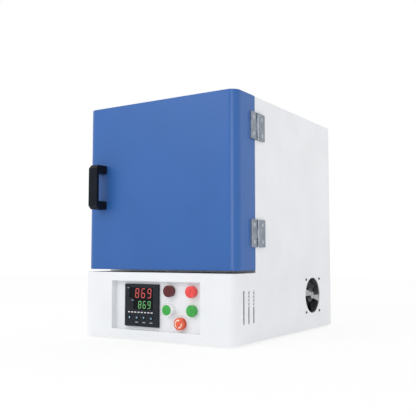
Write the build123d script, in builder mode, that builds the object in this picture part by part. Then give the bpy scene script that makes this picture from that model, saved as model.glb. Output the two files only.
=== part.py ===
"""Bench-top muffle furnace with a side-hinged door and a control housing under it.

The frame: +Z up, the door faces -Y, and the origin is the middle of the overall box at its lowest level.
All sizes are in millimetres.
"""
from build123d import *
from math import cos, radians, sin
import os

os.makedirs("parts", exist_ok=True)

# Case
case_width = 416.0
case_depth = 434.0
case_height = 543.0
sheet = 1.5
base_stand_out = 10.5
base_corner_radius = 24.0
bend_radius = 3.0
rear_lip = 14.0
panel_clearance = 0.2

# Feet
foot_height = 4.0
foot_radius = 15.0
foot_chamfer = 1.0
foot_inset = 45.0

# Door
door_depth = 85.5
door_corner_radius = 22.0
door_gap = 1.0
door_floor_gap = 6.0
door_edge_radius = 1.2
door_rebate = 6.0
door_lip = 15.0
door_fibre_relief = 12.0
liner_plate = 1.2

# Walls round the firing chamber, from the casing inwards: air, steel liner, fibre jacket and muffle
side_air_gap = 30.5
top_air_gap = 16.5
wiring_space = 55.0
muffle_wall = 25.0
jacket_wall = 50.0
collar_depth = 25.0
mouth_flare = 4.0
frame_opening_margin = 4.0
liner_sheet = 1.0
plug_reach = 35.0
plug_clearance = 6.0
plug_taper = 6.0
plug_liner_clearance = 0.5
hearth_thickness = 10.0
hearth_clearance = 2.0
hearth_setback = 7.0
rail_width = 30.0
rail_inset = 66.0
seal_thickness = 10.0
seal_margin = 14.0
seal_clearance = 0.3
seal_round = 2.0

# Heating elements and thermocouple
wire_radius = 2.0
groove_depth = 5.0
wire_bend_radius = 4.0
wire_sides = 8
groove_clearance = 1.0
element_runs = 8
element_floor_margin = 24.5
element_roof_margin = 14.5
element_front_margin = 22.0
element_back_margin = 14.0
bush_radius = 5.0
bush_clearance = 0.2
bush_stand_out = 6.0
wire_clearance = 0.3
terminal_size = 20.0
terminal_depth = 16.0
probe_radius = 4.0
probe_reach = 45.0
probe_from_roof = 38.0
probe_head_radius = 15.0
probe_head_depth = 18.0
probe_seat_radius = 22.0
probe_seat_depth = 3.0

# Control panel recess
recess_depth = 15.0
recess_offset = 3.0
recess_bottom_margin = 19.5
recess_top_margin = 19.5
recess_flange = 10.0

# Temperature controller
controller_size = 96.0
controller_margin = 7.0
controller_left_margin = 31.4
bezel_thickness = 6.5
bezel_edge_radius = 1.5
cutout_inset = 2.0
housing_inset = 3.0
housing_depth = 72.0
window_width = 69.0
window_height = 50.0
window_step_width = 12.0
window_step_height = 24.0
window_top_margin = 8.0
window_right_margin = 14.0
window_thickness = 1.6
window_clearance = 0.1
key_count = 4
key_radius = 5.5
key_clearance = 0.35
key_pitch = 20.5
key_height = 20.0
key_row_shift = 2.0
key_travel = 0.8
key_proud = 1.0
key_length = 3.2
key_edge = 0.4

# Lamps and buttons, 22 mm panel pattern
panel_hole_radius = 11.3
barrel_radius = 11.0
barrel_length = 30.0
collar_radius = 14.3
button_gap = 30.2
button_pitch = 58.7
button_right_margin = 28.7
lamp_row_from_top = 21.0
button_row_from_lamps = 41.0
stop_row_height = 19.0
lamp_flange = 3.0
lens_radius = 12.4
lens_edge = 2.2
alarm_lens_reach = 14.0
power_lens_reach = 13.5
run_lens_reach = 9.5
nut_width = 28.0
nut_thickness = 4.0
start_collar_reach = 16.5
start_cap_radius = 11.3
start_cap_reach = 18.0
start_cap_depth = 5.0
start_travel = 4.0
cap_clearance = 0.35
cap_edge = 0.8
plunger_radius = 4.0
guide_clearance = 0.1
stop_collar_reach = 1.5
stop_head_radius = 13.6
stop_head_base = 6.0
stop_head_reach = 13.5
stop_travel = 4.0
stop_head_rounding = 3.2
stop_stem_radius = 7.0
stop_neck_step = 2.0
stop_grip_depth = 1.2

# Side air slots
slot_count = 3
slot_pitch = 22.0
slot_width = 5.0
slot_length = 72.5
slot_first_from_seam = 9.0
slot_middle_height = 76.7

# Fan
fan_size = 92.0
fan_depth = 25.0
fan_hole_inset = 4.75
fan_opening_margin = 0.5
fan_body_inset = 0.25
fan_wall = 1.8
fan_corner_radius = 5.0
fan_from_back = 122.0
fan_height = 85.0
fan_plate = 4.0
fan_screw_radius = 2.0
fan_hub_radius = 17.0
fan_strut_count = 2
fan_strut_root = 5.5
fan_strut_flare = 19.0
fan_strut_depth = 4.0
fan_boss_radius = 9.0
fan_boss_depth = 6.0
fan_shaft_radius = 2.5
shaft_clearance = 0.05
blade_count = 7
blade_tip_clearance = 1.5
blade_root_chord = 15.0
blade_tip_chord = 25.0
blade_thickness = 1.6
blade_root_angle = 35.0
blade_tip_angle = 57.0
impeller_depth = 15.0
impeller_gap = 0.5

# Hinges
hinge_width = 31.5
hinge_height = 61.0
hinge_leaf_thickness = 5.0
hinge_pin_out = 3.9
hinge_pin_behind_seam = 8.0
hinge_barrel_radius = 3.6
hinge_pin_radius = 2.0
hinge_pin_clearance = 0.05
hinge_knuckle_gap = 0.4
hinge_bevel = 2.0
hinge_bevel_width = 8.0
hinge_edge_bevel = 1.0
hinge_screw_from_pin = 19.5
hinge_screw_spacing = 37.0
hinge_screw_radius = 2.5
hinge_screw_length = 10.0
hinge_socket_radius = 1.5
hinge_screw_sink = 0.6
hinge_relief = 0.4
hinge_web_overlap = 1.0
hinge_upper_from_top = 68.5
hinge_lower_from_bottom = 81.0
countersink_radius = 4.8
screw_clearance = 0.1

# Handle
handle_height = 105.0
handle_width = 26.0
handle_reach = 37.5
handle_arm = 19.5
handle_bar = 10.0
handle_chamfer = 8.0
handle_edge_radius = 2.5
handle_from_left = 47.5
handle_screw_spacing = 87.0
handle_screw_radius = 2.5
handle_screw_depth = 12.0
handle_screw_head_radius = 4.6

# Door catch
magnet_radius = 8.0
magnet_depth = 8.0
magnet_from_edge = 74.0
strike_radius = 12.0

# Screws of the rear cover and the fan
pan_head_radius = 3.1
pan_head_height = 1.9
pan_shank_radius = 1.9
rear_screw_inset = 7.5
rear_screw_rows = 4

# Rear cover vents and cable gland
vent_count = 7
vent_pitch = 11.0
vent_length = 120.0
vent_width = 5.0
vent_upper_from_top = 80.0
vent_lower_height = 72.0
gland_reach = 14.0
gland_from_left = 70.0
gland_height = 45.0
gland_thread_radius = 8.0
gland_bore_radius = 5.0
gland_hex_width = 22.0
gland_hex_depth = 6.0
gland_dome_radius = 9.5
gland_nut_depth = 4.0

# Electrical parts on the base pan
heat_sink_width = 60.0
heat_sink_length = 80.0
heat_sink_height = 50.0
heat_sink_web = 8.0
heat_sink_fins = 9
heat_sink_fin = 2.4
heat_sink_gap = 25.0
relay_width = 45.0
relay_length = 58.0
relay_height = 24.0
contactor_width = 45.0
contactor_length = 62.0
contactor_height = 76.0
contactor_step = 14.0
contactor_from_middle = 30.0
contactor_from_seam = 150.0
terminal_strip_width = 96.0
terminal_strip_length = 26.0
terminal_strip_height = 24.0
terminal_ways = 8
terminal_way_recess = 8.0
terminal_from_back = 70.0

# Overall box and the planes that everything is placed by
hinge_stand_out = hinge_pin_out + hinge_barrel_radius
recess_width = controller_left_margin + controller_size + button_gap + button_pitch + button_right_margin
recess_height = controller_size + 2 * controller_margin
ledge_height = recess_bottom_margin + recess_height + recess_top_margin
base_projection = door_depth + base_stand_out
overall_width = case_width + hinge_stand_out
overall_depth = handle_reach + door_depth + case_depth + gland_reach
right_x = overall_width / 2 - hinge_stand_out
left_x = right_x - case_width
mid_x = (left_x + right_x) / 2
seam_y = -overall_depth / 2 + handle_reach + door_depth
back_y = seam_y + case_depth
door_front_y = seam_y - door_depth
door_back_y = seam_y - door_gap
base_front_y = seam_y - base_projection
case_bottom_z = foot_height
ledge_z = case_bottom_z + ledge_height
case_top_z = case_bottom_z + case_height
door_bottom_z = ledge_z + door_floor_gap
door_mid_z = (door_bottom_z + case_top_z) / 2
inner_left_x = left_x + sheet
inner_right_x = right_x - sheet
lip_back_y = back_y - sheet

# Walls of the chamber, worked inwards from the case
liner_half_x = case_width / 2 - sheet - side_air_gap
liner_half_z = case_top_z - sheet - top_air_gap - door_mid_z
jacket_half_x = liner_half_x - liner_sheet
jacket_half_z = liner_half_z - liner_sheet
muffle_half_x = jacket_half_x - jacket_wall
muffle_half_z = jacket_half_z - jacket_wall
chamber_half_x = muffle_half_x - muffle_wall
chamber_half_z = muffle_half_z - muffle_wall
liner_back_y = lip_back_y - wiring_space
jacket_back_y = liner_back_y - liner_sheet
muffle_back_y = jacket_back_y - jacket_wall
chamber_back_y = muffle_back_y - muffle_wall
frame_back_y = seam_y + sheet
collar_back_y = frame_back_y + collar_depth
plug_end_y = seam_y + plug_reach
chamber_floor_z = door_mid_z - chamber_half_z
chamber_roof_z = door_mid_z + chamber_half_z
liner_bottom_z = door_mid_z - liner_half_z

# Panel planes
panel_y = base_front_y + recess_depth
recess_left_x = mid_x + recess_offset - recess_width / 2
recess_right_x = recess_left_x + recess_width
recess_bottom_z = case_bottom_z + recess_bottom_margin
recess_top_z = recess_bottom_z + recess_height


def slab(x, y, z, mode=Mode.ADD):
    """Block between two X planes, two Y planes and two Z planes."""
    with Locations(((x[0] + x[1]) / 2, (y[0] + y[1]) / 2, (z[0] + z[1]) / 2)):
        Box(x[1] - x[0], y[1] - y[0], z[1] - z[0], mode=mode)


def front_plane(y, x=0.0, z=0.0):
    """Plane at depth y that faces the front, with its own x to the right and its own y up."""
    return Plane(origin=(x, y, z), x_dir=(1, 0, 0), z_dir=(0, -1, 0))


def side_plane(x, y=0.0, z=0.0):
    """Plane at width x that faces right, with its own x to the back and its own y up."""
    return Plane(origin=(x, y, z), x_dir=(0, 1, 0), z_dir=(1, 0, 0))


def rounded_front_plan(x, y, z, radius):
    """Plan of a box whose two front corners are rounded, at height z."""
    with BuildSketch(Plane.XY.offset(z)) as plan:
        with Locations(((x[0] + x[1]) / 2, (y[0] + y[1]) / 2)):
            Rectangle(x[1] - x[0], y[1] - y[0])
        fillet(plan.vertices().group_by(Axis.Y)[0], radius)
    return plan.sketch


def square(y, half_x, half_z, mid_z):
    """Upright rectangle about the chamber's axis at depth y."""
    with BuildSketch(front_plane(y)) as face:
        with Locations((mid_x, mid_z)):
            Rectangle(2 * half_x, 2 * half_z)
    return face.sketch


# Outer casing: one welded skin with the control housing's rounded front, open below and at the back
fan_hole_pitch = fan_size - 2 * fan_hole_inset
fan_y = back_y - fan_from_back
fan_z = case_bottom_z + fan_height
fan_screw_places = [
    (fan_y + side * fan_hole_pitch / 2, fan_z + level * fan_hole_pitch / 2)
    for side in (-1, 1)
    for level in (-1, 1)
]
hinge_mid_heights = (door_bottom_z + hinge_lower_from_bottom, case_top_z - hinge_upper_from_top)
pin_x = right_x + hinge_pin_out
pin_y = seam_y + hinge_pin_behind_seam

with BuildPart() as outer_casing:
    extrude(
        rounded_front_plan((left_x, right_x), (base_front_y, back_y), case_bottom_z, base_corner_radius),
        amount=ledge_height,
    )
    slab((left_x, right_x), (seam_y, back_y), (ledge_z, case_top_z))
    top_bends = outer_casing.edges().filter_by(Axis.Y).group_by(Axis.Z)[-1]
    fillet(top_bends, bend_radius)
    extrude(
        rounded_front_plan(
            (inner_left_x, inner_right_x),
            (base_front_y + sheet, lip_back_y - sheet),
            case_bottom_z,
            base_corner_radius - sheet,
        ),
        amount=ledge_height - sheet,
        mode=Mode.SUBTRACT,
    )
    slab(
        (inner_left_x, inner_right_x),
        (seam_y, lip_back_y - sheet),
        (ledge_z - sheet, case_top_z - sheet),
        mode=Mode.SUBTRACT,
    )
    slab(
        (inner_left_x + rear_lip, inner_right_x - rear_lip),
        (lip_back_y - sheet, back_y),
        (case_bottom_z, case_top_z - sheet - rear_lip),
        mode=Mode.SUBTRACT,
    )
    slab(
        (inner_left_x, inner_right_x),
        (lip_back_y, back_y),
        (case_bottom_z, case_top_z - sheet),
        mode=Mode.SUBTRACT,
    )
    slab(
        (recess_left_x, recess_right_x),
        (base_front_y, base_front_y + sheet),
        (recess_bottom_z, recess_top_z),
        mode=Mode.SUBTRACT,
    )
    with BuildSketch(side_plane(left_x)):
        slot_mid_y = seam_y - slot_first_from_seam - slot_pitch * (slot_count - 1) / 2
        with Locations((slot_mid_y, case_bottom_z + slot_middle_height)):
            with GridLocations(slot_pitch, 0, slot_count, 1):
                SlotOverall(slot_length, slot_width, rotation=90)
    extrude(amount=case_width, mode=Mode.SUBTRACT)
    with BuildSketch(side_plane(right_x)):
        with Locations((fan_y, fan_z)):
            Circle(fan_size / 2 - fan_opening_margin)
        with Locations(fan_screw_places):
            Circle(fan_screw_radius + screw_clearance)
        for mid_z in hinge_mid_heights:
            with Locations((pin_y + hinge_screw_from_pin, mid_z)):
                with GridLocations(0, hinge_screw_spacing, 1, 2):
                    Circle(hinge_screw_radius + screw_clearance)
    extrude(amount=-sheet, mode=Mode.SUBTRACT)
outer_casing.part.label = "outer_casing"
export_step(outer_casing.part, "parts/outer_casing.step")

# Front frame: the plate round the mouth that the door closes on
frame_half_x = chamber_half_x + mouth_flare + frame_opening_margin
frame_half_z = chamber_half_z + mouth_flare + frame_opening_margin
magnet_x = (inner_left_x + mid_x - liner_half_x) / 2
magnet_places = [(magnet_x, door_bottom_z + magnet_from_edge), (magnet_x, case_top_z - magnet_from_edge)]
with BuildPart() as front_frame:
    slab((inner_left_x, inner_right_x), (seam_y, frame_back_y), (ledge_z, case_top_z - sheet))
    extrude(square(seam_y, frame_half_x, frame_half_z, door_mid_z), amount=-sheet, mode=Mode.SUBTRACT)
    with BuildSketch(front_plane(seam_y)):
        with Locations(magnet_places):
            Circle(magnet_radius + panel_clearance)
    extrude(amount=-sheet, mode=Mode.SUBTRACT)
front_frame.part.label = "front_frame"
export_step(front_frame.part, "parts/front_frame.step")

# Catch magnets, set flush in the front frame
with BuildPart() as catch_magnets:
    with BuildSketch(front_plane(seam_y)):
        with Locations(magnet_places):
            Circle(magnet_radius)
    extrude(amount=-magnet_depth)
    with BuildSketch(front_plane(frame_back_y)):
        with Locations(magnet_places):
            Circle(magnet_radius + sheet)
    extrude(amount=-magnet_depth + sheet)
catch_magnets.part.label = "catch_magnets"
export_step(catch_magnets.part, "parts/catch_magnets.step")

# Rear cover with its vents, and the hole for the cable gland
gland_x = left_x + gland_from_left
gland_z = case_bottom_z + gland_height
rear_screw_pitch = (case_height - sheet - 2 * rear_screw_inset) / (rear_screw_rows - 1)
rear_screw_places = [
    (side_x, case_bottom_z + rear_screw_inset + row * rear_screw_pitch)
    for side_x in (inner_left_x + rear_screw_inset, inner_right_x - rear_screw_inset)
    for row in range(rear_screw_rows)
]
with BuildPart() as rear_cover:
    slab(
        (inner_left_x + panel_clearance, inner_right_x - panel_clearance),
        (lip_back_y, back_y),
        (case_bottom_z, case_top_z - sheet - panel_clearance),
    )
    with BuildSketch(front_plane(lip_back_y)):
        for vent_z in (case_top_z - vent_upper_from_top, case_bottom_z + vent_lower_height):
            with Locations((mid_x, vent_z)):
                with GridLocations(0, vent_pitch, 1, vent_count):
                    SlotOverall(vent_length, vent_width)
        with Locations((gland_x, gland_z)):
            Circle(gland_thread_radius + panel_clearance)
        with Locations(rear_screw_places):
            Circle(pan_shank_radius + screw_clearance)
    extrude(amount=-sheet, mode=Mode.SUBTRACT)
rear_cover.part.label = "rear_cover"
export_step(rear_cover.part, "parts/rear_cover.step")

# Cable gland: body, hexagon, domed nut and the lock nut inside the cover
with BuildPart(front_plane(back_y, gland_x, gland_z)) as cable_gland:
    Cylinder(gland_thread_radius, gland_nut_depth + sheet, align=(Align.CENTER, Align.CENTER, Align.MIN))
    with BuildSketch(front_plane(back_y, gland_x, gland_z)):
        RegularPolygon(gland_hex_width / 2, 6, major_radius=False)
    extrude(amount=-gland_hex_depth)
    with BuildSketch(front_plane(back_y - sheet, gland_x, gland_z)):
        RegularPolygon(gland_hex_width / 2, 6, major_radius=False)
    extrude(amount=gland_nut_depth)
    with BuildSketch(front_plane(back_y + gland_hex_depth, gland_x, gland_z)):
        Circle(gland_dome_radius)
    extrude(amount=-(gland_reach - gland_hex_depth))
    fillet(cable_gland.edges().group_by(Axis.Y)[-1], gland_dome_radius - gland_bore_radius - sheet)
    with BuildSketch(front_plane(back_y + gland_reach, gland_x, gland_z)):
        Circle(gland_bore_radius)
    extrude(amount=gland_reach + sheet + gland_nut_depth, mode=Mode.SUBTRACT)
cable_gland.part.label = "cable_gland"
export_step(cable_gland.part, "parts/cable_gland.step")

# Base pan, the bottom plate that carries the feet and the electrical parts
pan_top_z = case_bottom_z + sheet
with BuildPart() as base_pan:
    extrude(
        rounded_front_plan(
            (inner_left_x + panel_clearance, inner_right_x - panel_clearance),
            (base_front_y + sheet + panel_clearance, lip_back_y - sheet - panel_clearance),
            case_bottom_z,
            base_corner_radius - sheet - panel_clearance,
        ),
        amount=sheet,
    )
base_pan.part.label = "base_pan"
export_step(base_pan.part, "parts/base_pan.step")

# Four low rubber feet
feet_mid_y = (base_front_y + back_y) / 2
with BuildPart() as feet:
    with BuildSketch(Plane.XY):
        with Locations((mid_x, feet_mid_y)):
            with GridLocations(case_width - 2 * foot_inset, back_y - base_front_y - 2 * foot_inset, 2, 2):
                Circle(foot_radius)
    extrude(amount=foot_height)
    chamfer(feet.edges().group_by(Axis.Z)[0], foot_chamfer)
feet.part.label = "feet"
export_step(feet.part, "parts/feet.step")

# Shelf across the case, with the two rails that lift the inner liner
with BuildPart() as shelf:
    slab((inner_left_x, inner_right_x), (seam_y, liner_back_y), (ledge_z - sheet, ledge_z))
    for side in (-1, 1):
        rail_x = mid_x + side * (liner_half_x - rail_inset)
        slab(
            (rail_x - rail_width / 2, rail_x + rail_width / 2),
            (frame_back_y, liner_back_y),
            (ledge_z, liner_bottom_z),
        )
        slab(
            (rail_x - rail_width / 2 + sheet, rail_x + rail_width / 2 - sheet),
            (frame_back_y, liner_back_y),
            (ledge_z, liner_bottom_z - sheet),
            mode=Mode.SUBTRACT,
        )
shelf.part.label = "shelf"
export_step(shelf.part, "parts/shelf.step")

# Places of the element leads and of the thermocouple in the back wall
element_bottom_z = chamber_floor_z + element_floor_margin
element_top_z = chamber_roof_z - element_roof_margin
element_pitch = (element_top_z - element_bottom_z) / (element_runs - 1)
element_out_x = chamber_half_x + groove_depth - wire_radius - wire_clearance
lead_places = [
    (mid_x + side * element_out_x, level) for side in (-1, 1) for level in (element_bottom_z, element_top_z)
]
probe_z = chamber_roof_z - probe_from_roof
bush_hole_radius = bush_radius + bush_clearance
probe_hole_radius = probe_radius + bush_clearance


def back_holes(y, depth):
    """Holes for the four lead bushes and the thermocouple, from depth y backwards."""
    with BuildSketch(front_plane(y)) as holes:
        with Locations(lead_places):
            Circle(bush_hole_radius)
        with Locations((mid_x, probe_z)):
            Circle(probe_hole_radius)
    return extrude(holes.sketch, amount=-depth, mode=Mode.PRIVATE)


# Inner liner, the steel box that holds the fibre
with BuildPart() as inner_liner:
    slab(
        (mid_x - liner_half_x, mid_x + liner_half_x),
        (frame_back_y, liner_back_y),
        (door_mid_z - liner_half_z, door_mid_z + liner_half_z),
    )
    slab(
        (mid_x - jacket_half_x, mid_x + jacket_half_x),
        (frame_back_y, jacket_back_y),
        (door_mid_z - jacket_half_z, door_mid_z + jacket_half_z),
        mode=Mode.SUBTRACT,
    )
    add(back_holes(jacket_back_y, liner_sheet), mode=Mode.SUBTRACT)
inner_liner.part.label = "inner_liner"
export_step(inner_liner.part, "parts/inner_liner.step")

# Insulation jacket between the liner and the muffle
with BuildPart() as insulation_jacket:
    slab(
        (mid_x - jacket_half_x, mid_x + jacket_half_x),
        (collar_back_y, jacket_back_y),
        (door_mid_z - jacket_half_z, door_mid_z + jacket_half_z),
    )
    slab(
        (mid_x - muffle_half_x, mid_x + muffle_half_x),
        (collar_back_y, muffle_back_y),
        (door_mid_z - muffle_half_z, door_mid_z + muffle_half_z),
        mode=Mode.SUBTRACT,
    )
    add(back_holes(muffle_back_y, jacket_wall), mode=Mode.SUBTRACT)
insulation_jacket.part.label = "insulation_jacket"
export_step(insulation_jacket.part, "parts/insulation_jacket.step")

# Mouth collar, whose opening flares towards the door
with BuildPart() as mouth_collar:
    slab(
        (mid_x - jacket_half_x, mid_x + jacket_half_x),
        (frame_back_y, collar_back_y),
        (door_mid_z - jacket_half_z, door_mid_z + jacket_half_z),
    )
    wide_mouth = square(frame_back_y, chamber_half_x + mouth_flare, chamber_half_z + mouth_flare, door_mid_z)
    inner_mouth = square(collar_back_y, chamber_half_x, chamber_half_z, door_mid_z)
    loft([wide_mouth.face(), inner_mouth.face()], mode=Mode.SUBTRACT)
mouth_collar.part.label = "mouth_collar"
export_step(mouth_collar.part, "parts/mouth_collar.step")

# Muffle, with grooves in both side walls for the heating wire
groove_half = wire_radius + groove_clearance
element_front_y = collar_back_y + element_front_margin
element_back_y = chamber_back_y - element_back_margin
with BuildPart() as muffle:
    slab(
        (mid_x - muffle_half_x, mid_x + muffle_half_x),
        (collar_back_y, muffle_back_y),
        (door_mid_z - muffle_half_z, door_mid_z + muffle_half_z),
    )
    slab(
        (mid_x - chamber_half_x, mid_x + chamber_half_x),
        (collar_back_y, chamber_back_y),
        (chamber_floor_z, chamber_roof_z),
        mode=Mode.SUBTRACT,
    )
    across_grooves = (mid_x - chamber_half_x - groove_depth, mid_x + chamber_half_x + groove_depth)
    for run in range(element_runs):
        run_z = element_bottom_z + run * element_pitch
        run_back_y = chamber_back_y if run in (0, element_runs - 1) else element_back_y
        slab(
            across_grooves,
            (element_front_y, run_back_y),
            (run_z - groove_half, run_z + groove_half),
            mode=Mode.SUBTRACT,
        )
    for run in range(element_runs - 1):
        run_z = element_bottom_z + run * element_pitch
        bend_y = element_front_y if run % 2 == 0 else element_back_y - 2 * groove_half
        slab(
            across_grooves,
            (bend_y, bend_y + 2 * groove_half),
            (run_z - groove_half, run_z + element_pitch + groove_half),
            mode=Mode.SUBTRACT,
        )
    add(back_holes(chamber_back_y, muffle_wall), mode=Mode.SUBTRACT)
muffle.part.label = "muffle"
export_step(muffle.part, "parts/muffle.step")

# Hearth plate on the chamber floor
with BuildPart() as hearth_plate:
    slab(
        (mid_x - chamber_half_x + hearth_clearance, mid_x + chamber_half_x - hearth_clearance),
        (plug_end_y + hearth_setback, chamber_back_y - hearth_clearance),
        (chamber_floor_z, chamber_floor_z + hearth_thickness),
    )
    fillet(hearth_plate.edges().filter_by(Axis.Z), hearth_clearance)
hearth_plate.part.label = "hearth_plate"
export_step(hearth_plate.part, "parts/hearth_plate.step")

# Heating elements: one wire bent to and fro in the grooves of each side wall, both ends out at the back
lead_end_y = liner_back_y + bush_stand_out + terminal_depth / 2
for name, side in (("heating_element_left", -1), ("heating_element_right", 1)):
    wire_x = mid_x + side * element_out_x
    turns = [(wire_x, lead_end_y, element_bottom_z)]
    for run in range(element_runs - 1):
        run_z = element_bottom_z + run * element_pitch
        turn_y = element_front_y + groove_half if run % 2 == 0 else element_back_y - groove_half
        turns += [(wire_x, turn_y, run_z), (wire_x, turn_y, run_z + element_pitch)]
    turns.append((wire_x, lead_end_y, element_top_z))
    with BuildPart() as heating_element:
        with BuildLine() as wire_line:
            FilletPolyline(*turns, radius=wire_bend_radius)
        with BuildSketch(front_plane(lead_end_y, wire_x, element_bottom_z)):
            RegularPolygon(wire_radius, wire_sides)
        sweep(path=wire_line.wires()[0])
    heating_element.part.label = name
    export_step(heating_element.part, f"parts/{name}.step")

# Ceramic bushes that bring the leads through the back wall
with BuildPart() as lead_bushings:
    with BuildSketch(front_plane(chamber_back_y)):
        with Locations(lead_places):
            Circle(bush_radius)
            Circle(wire_radius + wire_clearance, mode=Mode.SUBTRACT)
    extrude(amount=-(liner_back_y + bush_stand_out - chamber_back_y))
lead_bushings.part.label = "lead_bushings"
export_step(lead_bushings.part, "parts/lead_bushings.step")

# Ceramic terminals that the lead ends are clamped in
with BuildPart() as element_terminals:
    with BuildSketch(front_plane(liner_back_y + bush_stand_out)):
        with Locations(lead_places):
            Rectangle(terminal_size, terminal_size)
            Circle(wire_radius + wire_clearance, mode=Mode.SUBTRACT)
    extrude(amount=-terminal_depth)
    chamfer(element_terminals.edges().filter_by(Axis.Y).filter_by(GeomType.LINE), wire_radius)
element_terminals.part.label = "element_terminals"
export_step(element_terminals.part, "parts/element_terminals.step")

# Thermocouple: a closed ceramic sheath, and the head that holds it on the liner
with BuildPart(front_plane(chamber_back_y - probe_reach, mid_x, probe_z)) as thermocouple_sheath:
    sheath_length = probe_reach + liner_back_y - chamber_back_y + probe_seat_depth
    Cylinder(probe_radius, sheath_length, align=(Align.CENTER, Align.CENTER, Align.MAX))
    fillet(thermocouple_sheath.edges().group_by(Axis.Y)[0], probe_radius - wire_clearance)
thermocouple_sheath.part.label = "thermocouple_sheath"
export_step(thermocouple_sheath.part, "parts/thermocouple_sheath.step")

with BuildPart(front_plane(liner_back_y, mid_x, probe_z)) as thermocouple_head:
    Cylinder(probe_seat_radius, probe_seat_depth, align=(Align.CENTER, Align.CENTER, Align.MAX))
    with Locations((0, 0, -probe_seat_depth)):
        Cylinder(probe_head_radius, probe_head_depth, align=(Align.CENTER, Align.CENTER, Align.MAX))
    chamfer(thermocouple_head.edges().group_by(Axis.Y)[-1], probe_seat_depth)
    Cylinder(
        probe_radius + screw_clearance,
        probe_seat_depth,
        align=(Align.CENTER, Align.CENTER, Align.MAX),
        mode=Mode.SUBTRACT,
    )
thermocouple_head.part.label = "thermocouple_head"
export_step(thermocouple_head.part, "parts/thermocouple_head.step")

# Control panel: a shallow tray behind the opening of the casing
controller_x = recess_left_x + controller_left_margin + controller_size / 2
controller_z = (recess_bottom_z + recess_top_z) / 2
right_column_x = recess_right_x - button_right_margin
left_column_x = right_column_x - button_pitch
lamp_row_z = recess_top_z - lamp_row_from_top
button_row_z = lamp_row_z - button_row_from_lamps
alarm_place = (left_column_x, lamp_row_z)
power_place = (right_column_x, lamp_row_z)
start_place = (left_column_x, button_row_z)
run_place = (right_column_x, button_row_z)
stop_place = ((left_column_x + right_column_x) / 2, recess_bottom_z + stop_row_height)
panel_places = [alarm_place, power_place, start_place, run_place, stop_place]
flange_front_y = base_front_y + sheet
with BuildPart() as control_panel:
    slab(
        (recess_left_x - recess_flange, recess_right_x + recess_flange),
        (flange_front_y, flange_front_y + sheet),
        (recess_bottom_z - recess_flange, recess_top_z + recess_flange),
    )
    slab(
        (recess_left_x - sheet, recess_right_x + sheet),
        (flange_front_y, panel_y + sheet),
        (recess_bottom_z - sheet, recess_top_z + sheet),
    )
    slab(
        (recess_left_x, recess_right_x),
        (flange_front_y, panel_y),
        (recess_bottom_z, recess_top_z),
        mode=Mode.SUBTRACT,
    )
    with BuildSketch(front_plane(panel_y)):
        with Locations((controller_x, controller_z)):
            Rectangle(controller_size - 2 * cutout_inset, controller_size - 2 * cutout_inset)
        with Locations(panel_places):
            Circle(panel_hole_radius)
    extrude(amount=-sheet, mode=Mode.SUBTRACT)
control_panel.part.label = "control_panel"
export_step(control_panel.part, "parts/control_panel.step")

# Controller housing, the box behind the panel
with BuildPart() as controller_housing:
    with BuildSketch(front_plane(panel_y)):
        with Locations((controller_x, controller_z)):
            Rectangle(controller_size - 2 * housing_inset, controller_size - 2 * housing_inset)
    extrude(amount=-housing_depth)
    fillet(controller_housing.edges().filter_by(Axis.Y), bezel_edge_radius)
controller_housing.part.label = "controller_housing"
export_step(controller_housing.part, "parts/controller_housing.step")

# Controller bezel, with the stepped window opening and four key wells
bezel_front_y = panel_y - bezel_thickness
window_right_x = controller_x + controller_size / 2 - window_right_margin
window_top_z = controller_z + controller_size / 2 - window_top_margin
key_z = controller_z - controller_size / 2 + key_height
first_key_x = controller_x - key_row_shift - key_pitch * (key_count - 1) / 2
key_places = [(first_key_x + step * key_pitch, key_z) for step in range(key_count)]


def window_outline(clearance):
    """Outline of the display window: wide above, stepped in at the left below."""
    left = window_right_x - window_width
    bottom = window_top_z - window_height
    step_z = window_top_z - window_step_height
    with BuildSketch(front_plane(bezel_front_y)) as outline:
        with BuildLine():
            Polyline(
                (left + clearance, window_top_z - clearance),
                (window_right_x - clearance, window_top_z - clearance),
                (window_right_x - clearance, bottom + clearance),
                (left + window_step_width + clearance, bottom + clearance),
                (left + window_step_width + clearance, step_z + clearance),
                (left + clearance, step_z + clearance),
                close=True,
            )
        make_face()
    return outline.sketch


with BuildPart() as controller_bezel:
    with BuildSketch(front_plane(panel_y)):
        with Locations((controller_x, controller_z)):
            Rectangle(controller_size, controller_size)
    extrude(amount=bezel_thickness)
    fillet(controller_bezel.edges().group_by(Axis.Y)[0], bezel_edge_radius)
    extrude(window_outline(0), amount=-window_thickness, mode=Mode.SUBTRACT)
    with BuildSketch(front_plane(bezel_front_y)):
        with Locations(key_places):
            Circle(key_radius + key_clearance)
    extrude(amount=-(key_length + key_travel + window_clearance), mode=Mode.SUBTRACT)
controller_bezel.part.label = "controller_bezel"
export_step(controller_bezel.part, "parts/controller_bezel.step")

with BuildPart() as display_window:
    extrude(window_outline(window_clearance), amount=-window_thickness)
display_window.part.label = "display_window"
export_step(display_window.part, "parts/display_window.step")

# Four round keys, each free to sink in its well
for number, place in enumerate(key_places, start=1):
    with BuildPart(front_plane(bezel_front_y - key_proud, *place)) as controller_key:
        Cylinder(key_radius, key_length + key_proud, align=(Align.CENTER, Align.CENTER, Align.MAX))
        fillet(controller_key.edges().group_by(Axis.Y)[0], key_edge)
    controller_key.part.label = f"controller_key_{number}"
    export_step(controller_key.part, f"parts/controller_key_{number}.step")


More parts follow.
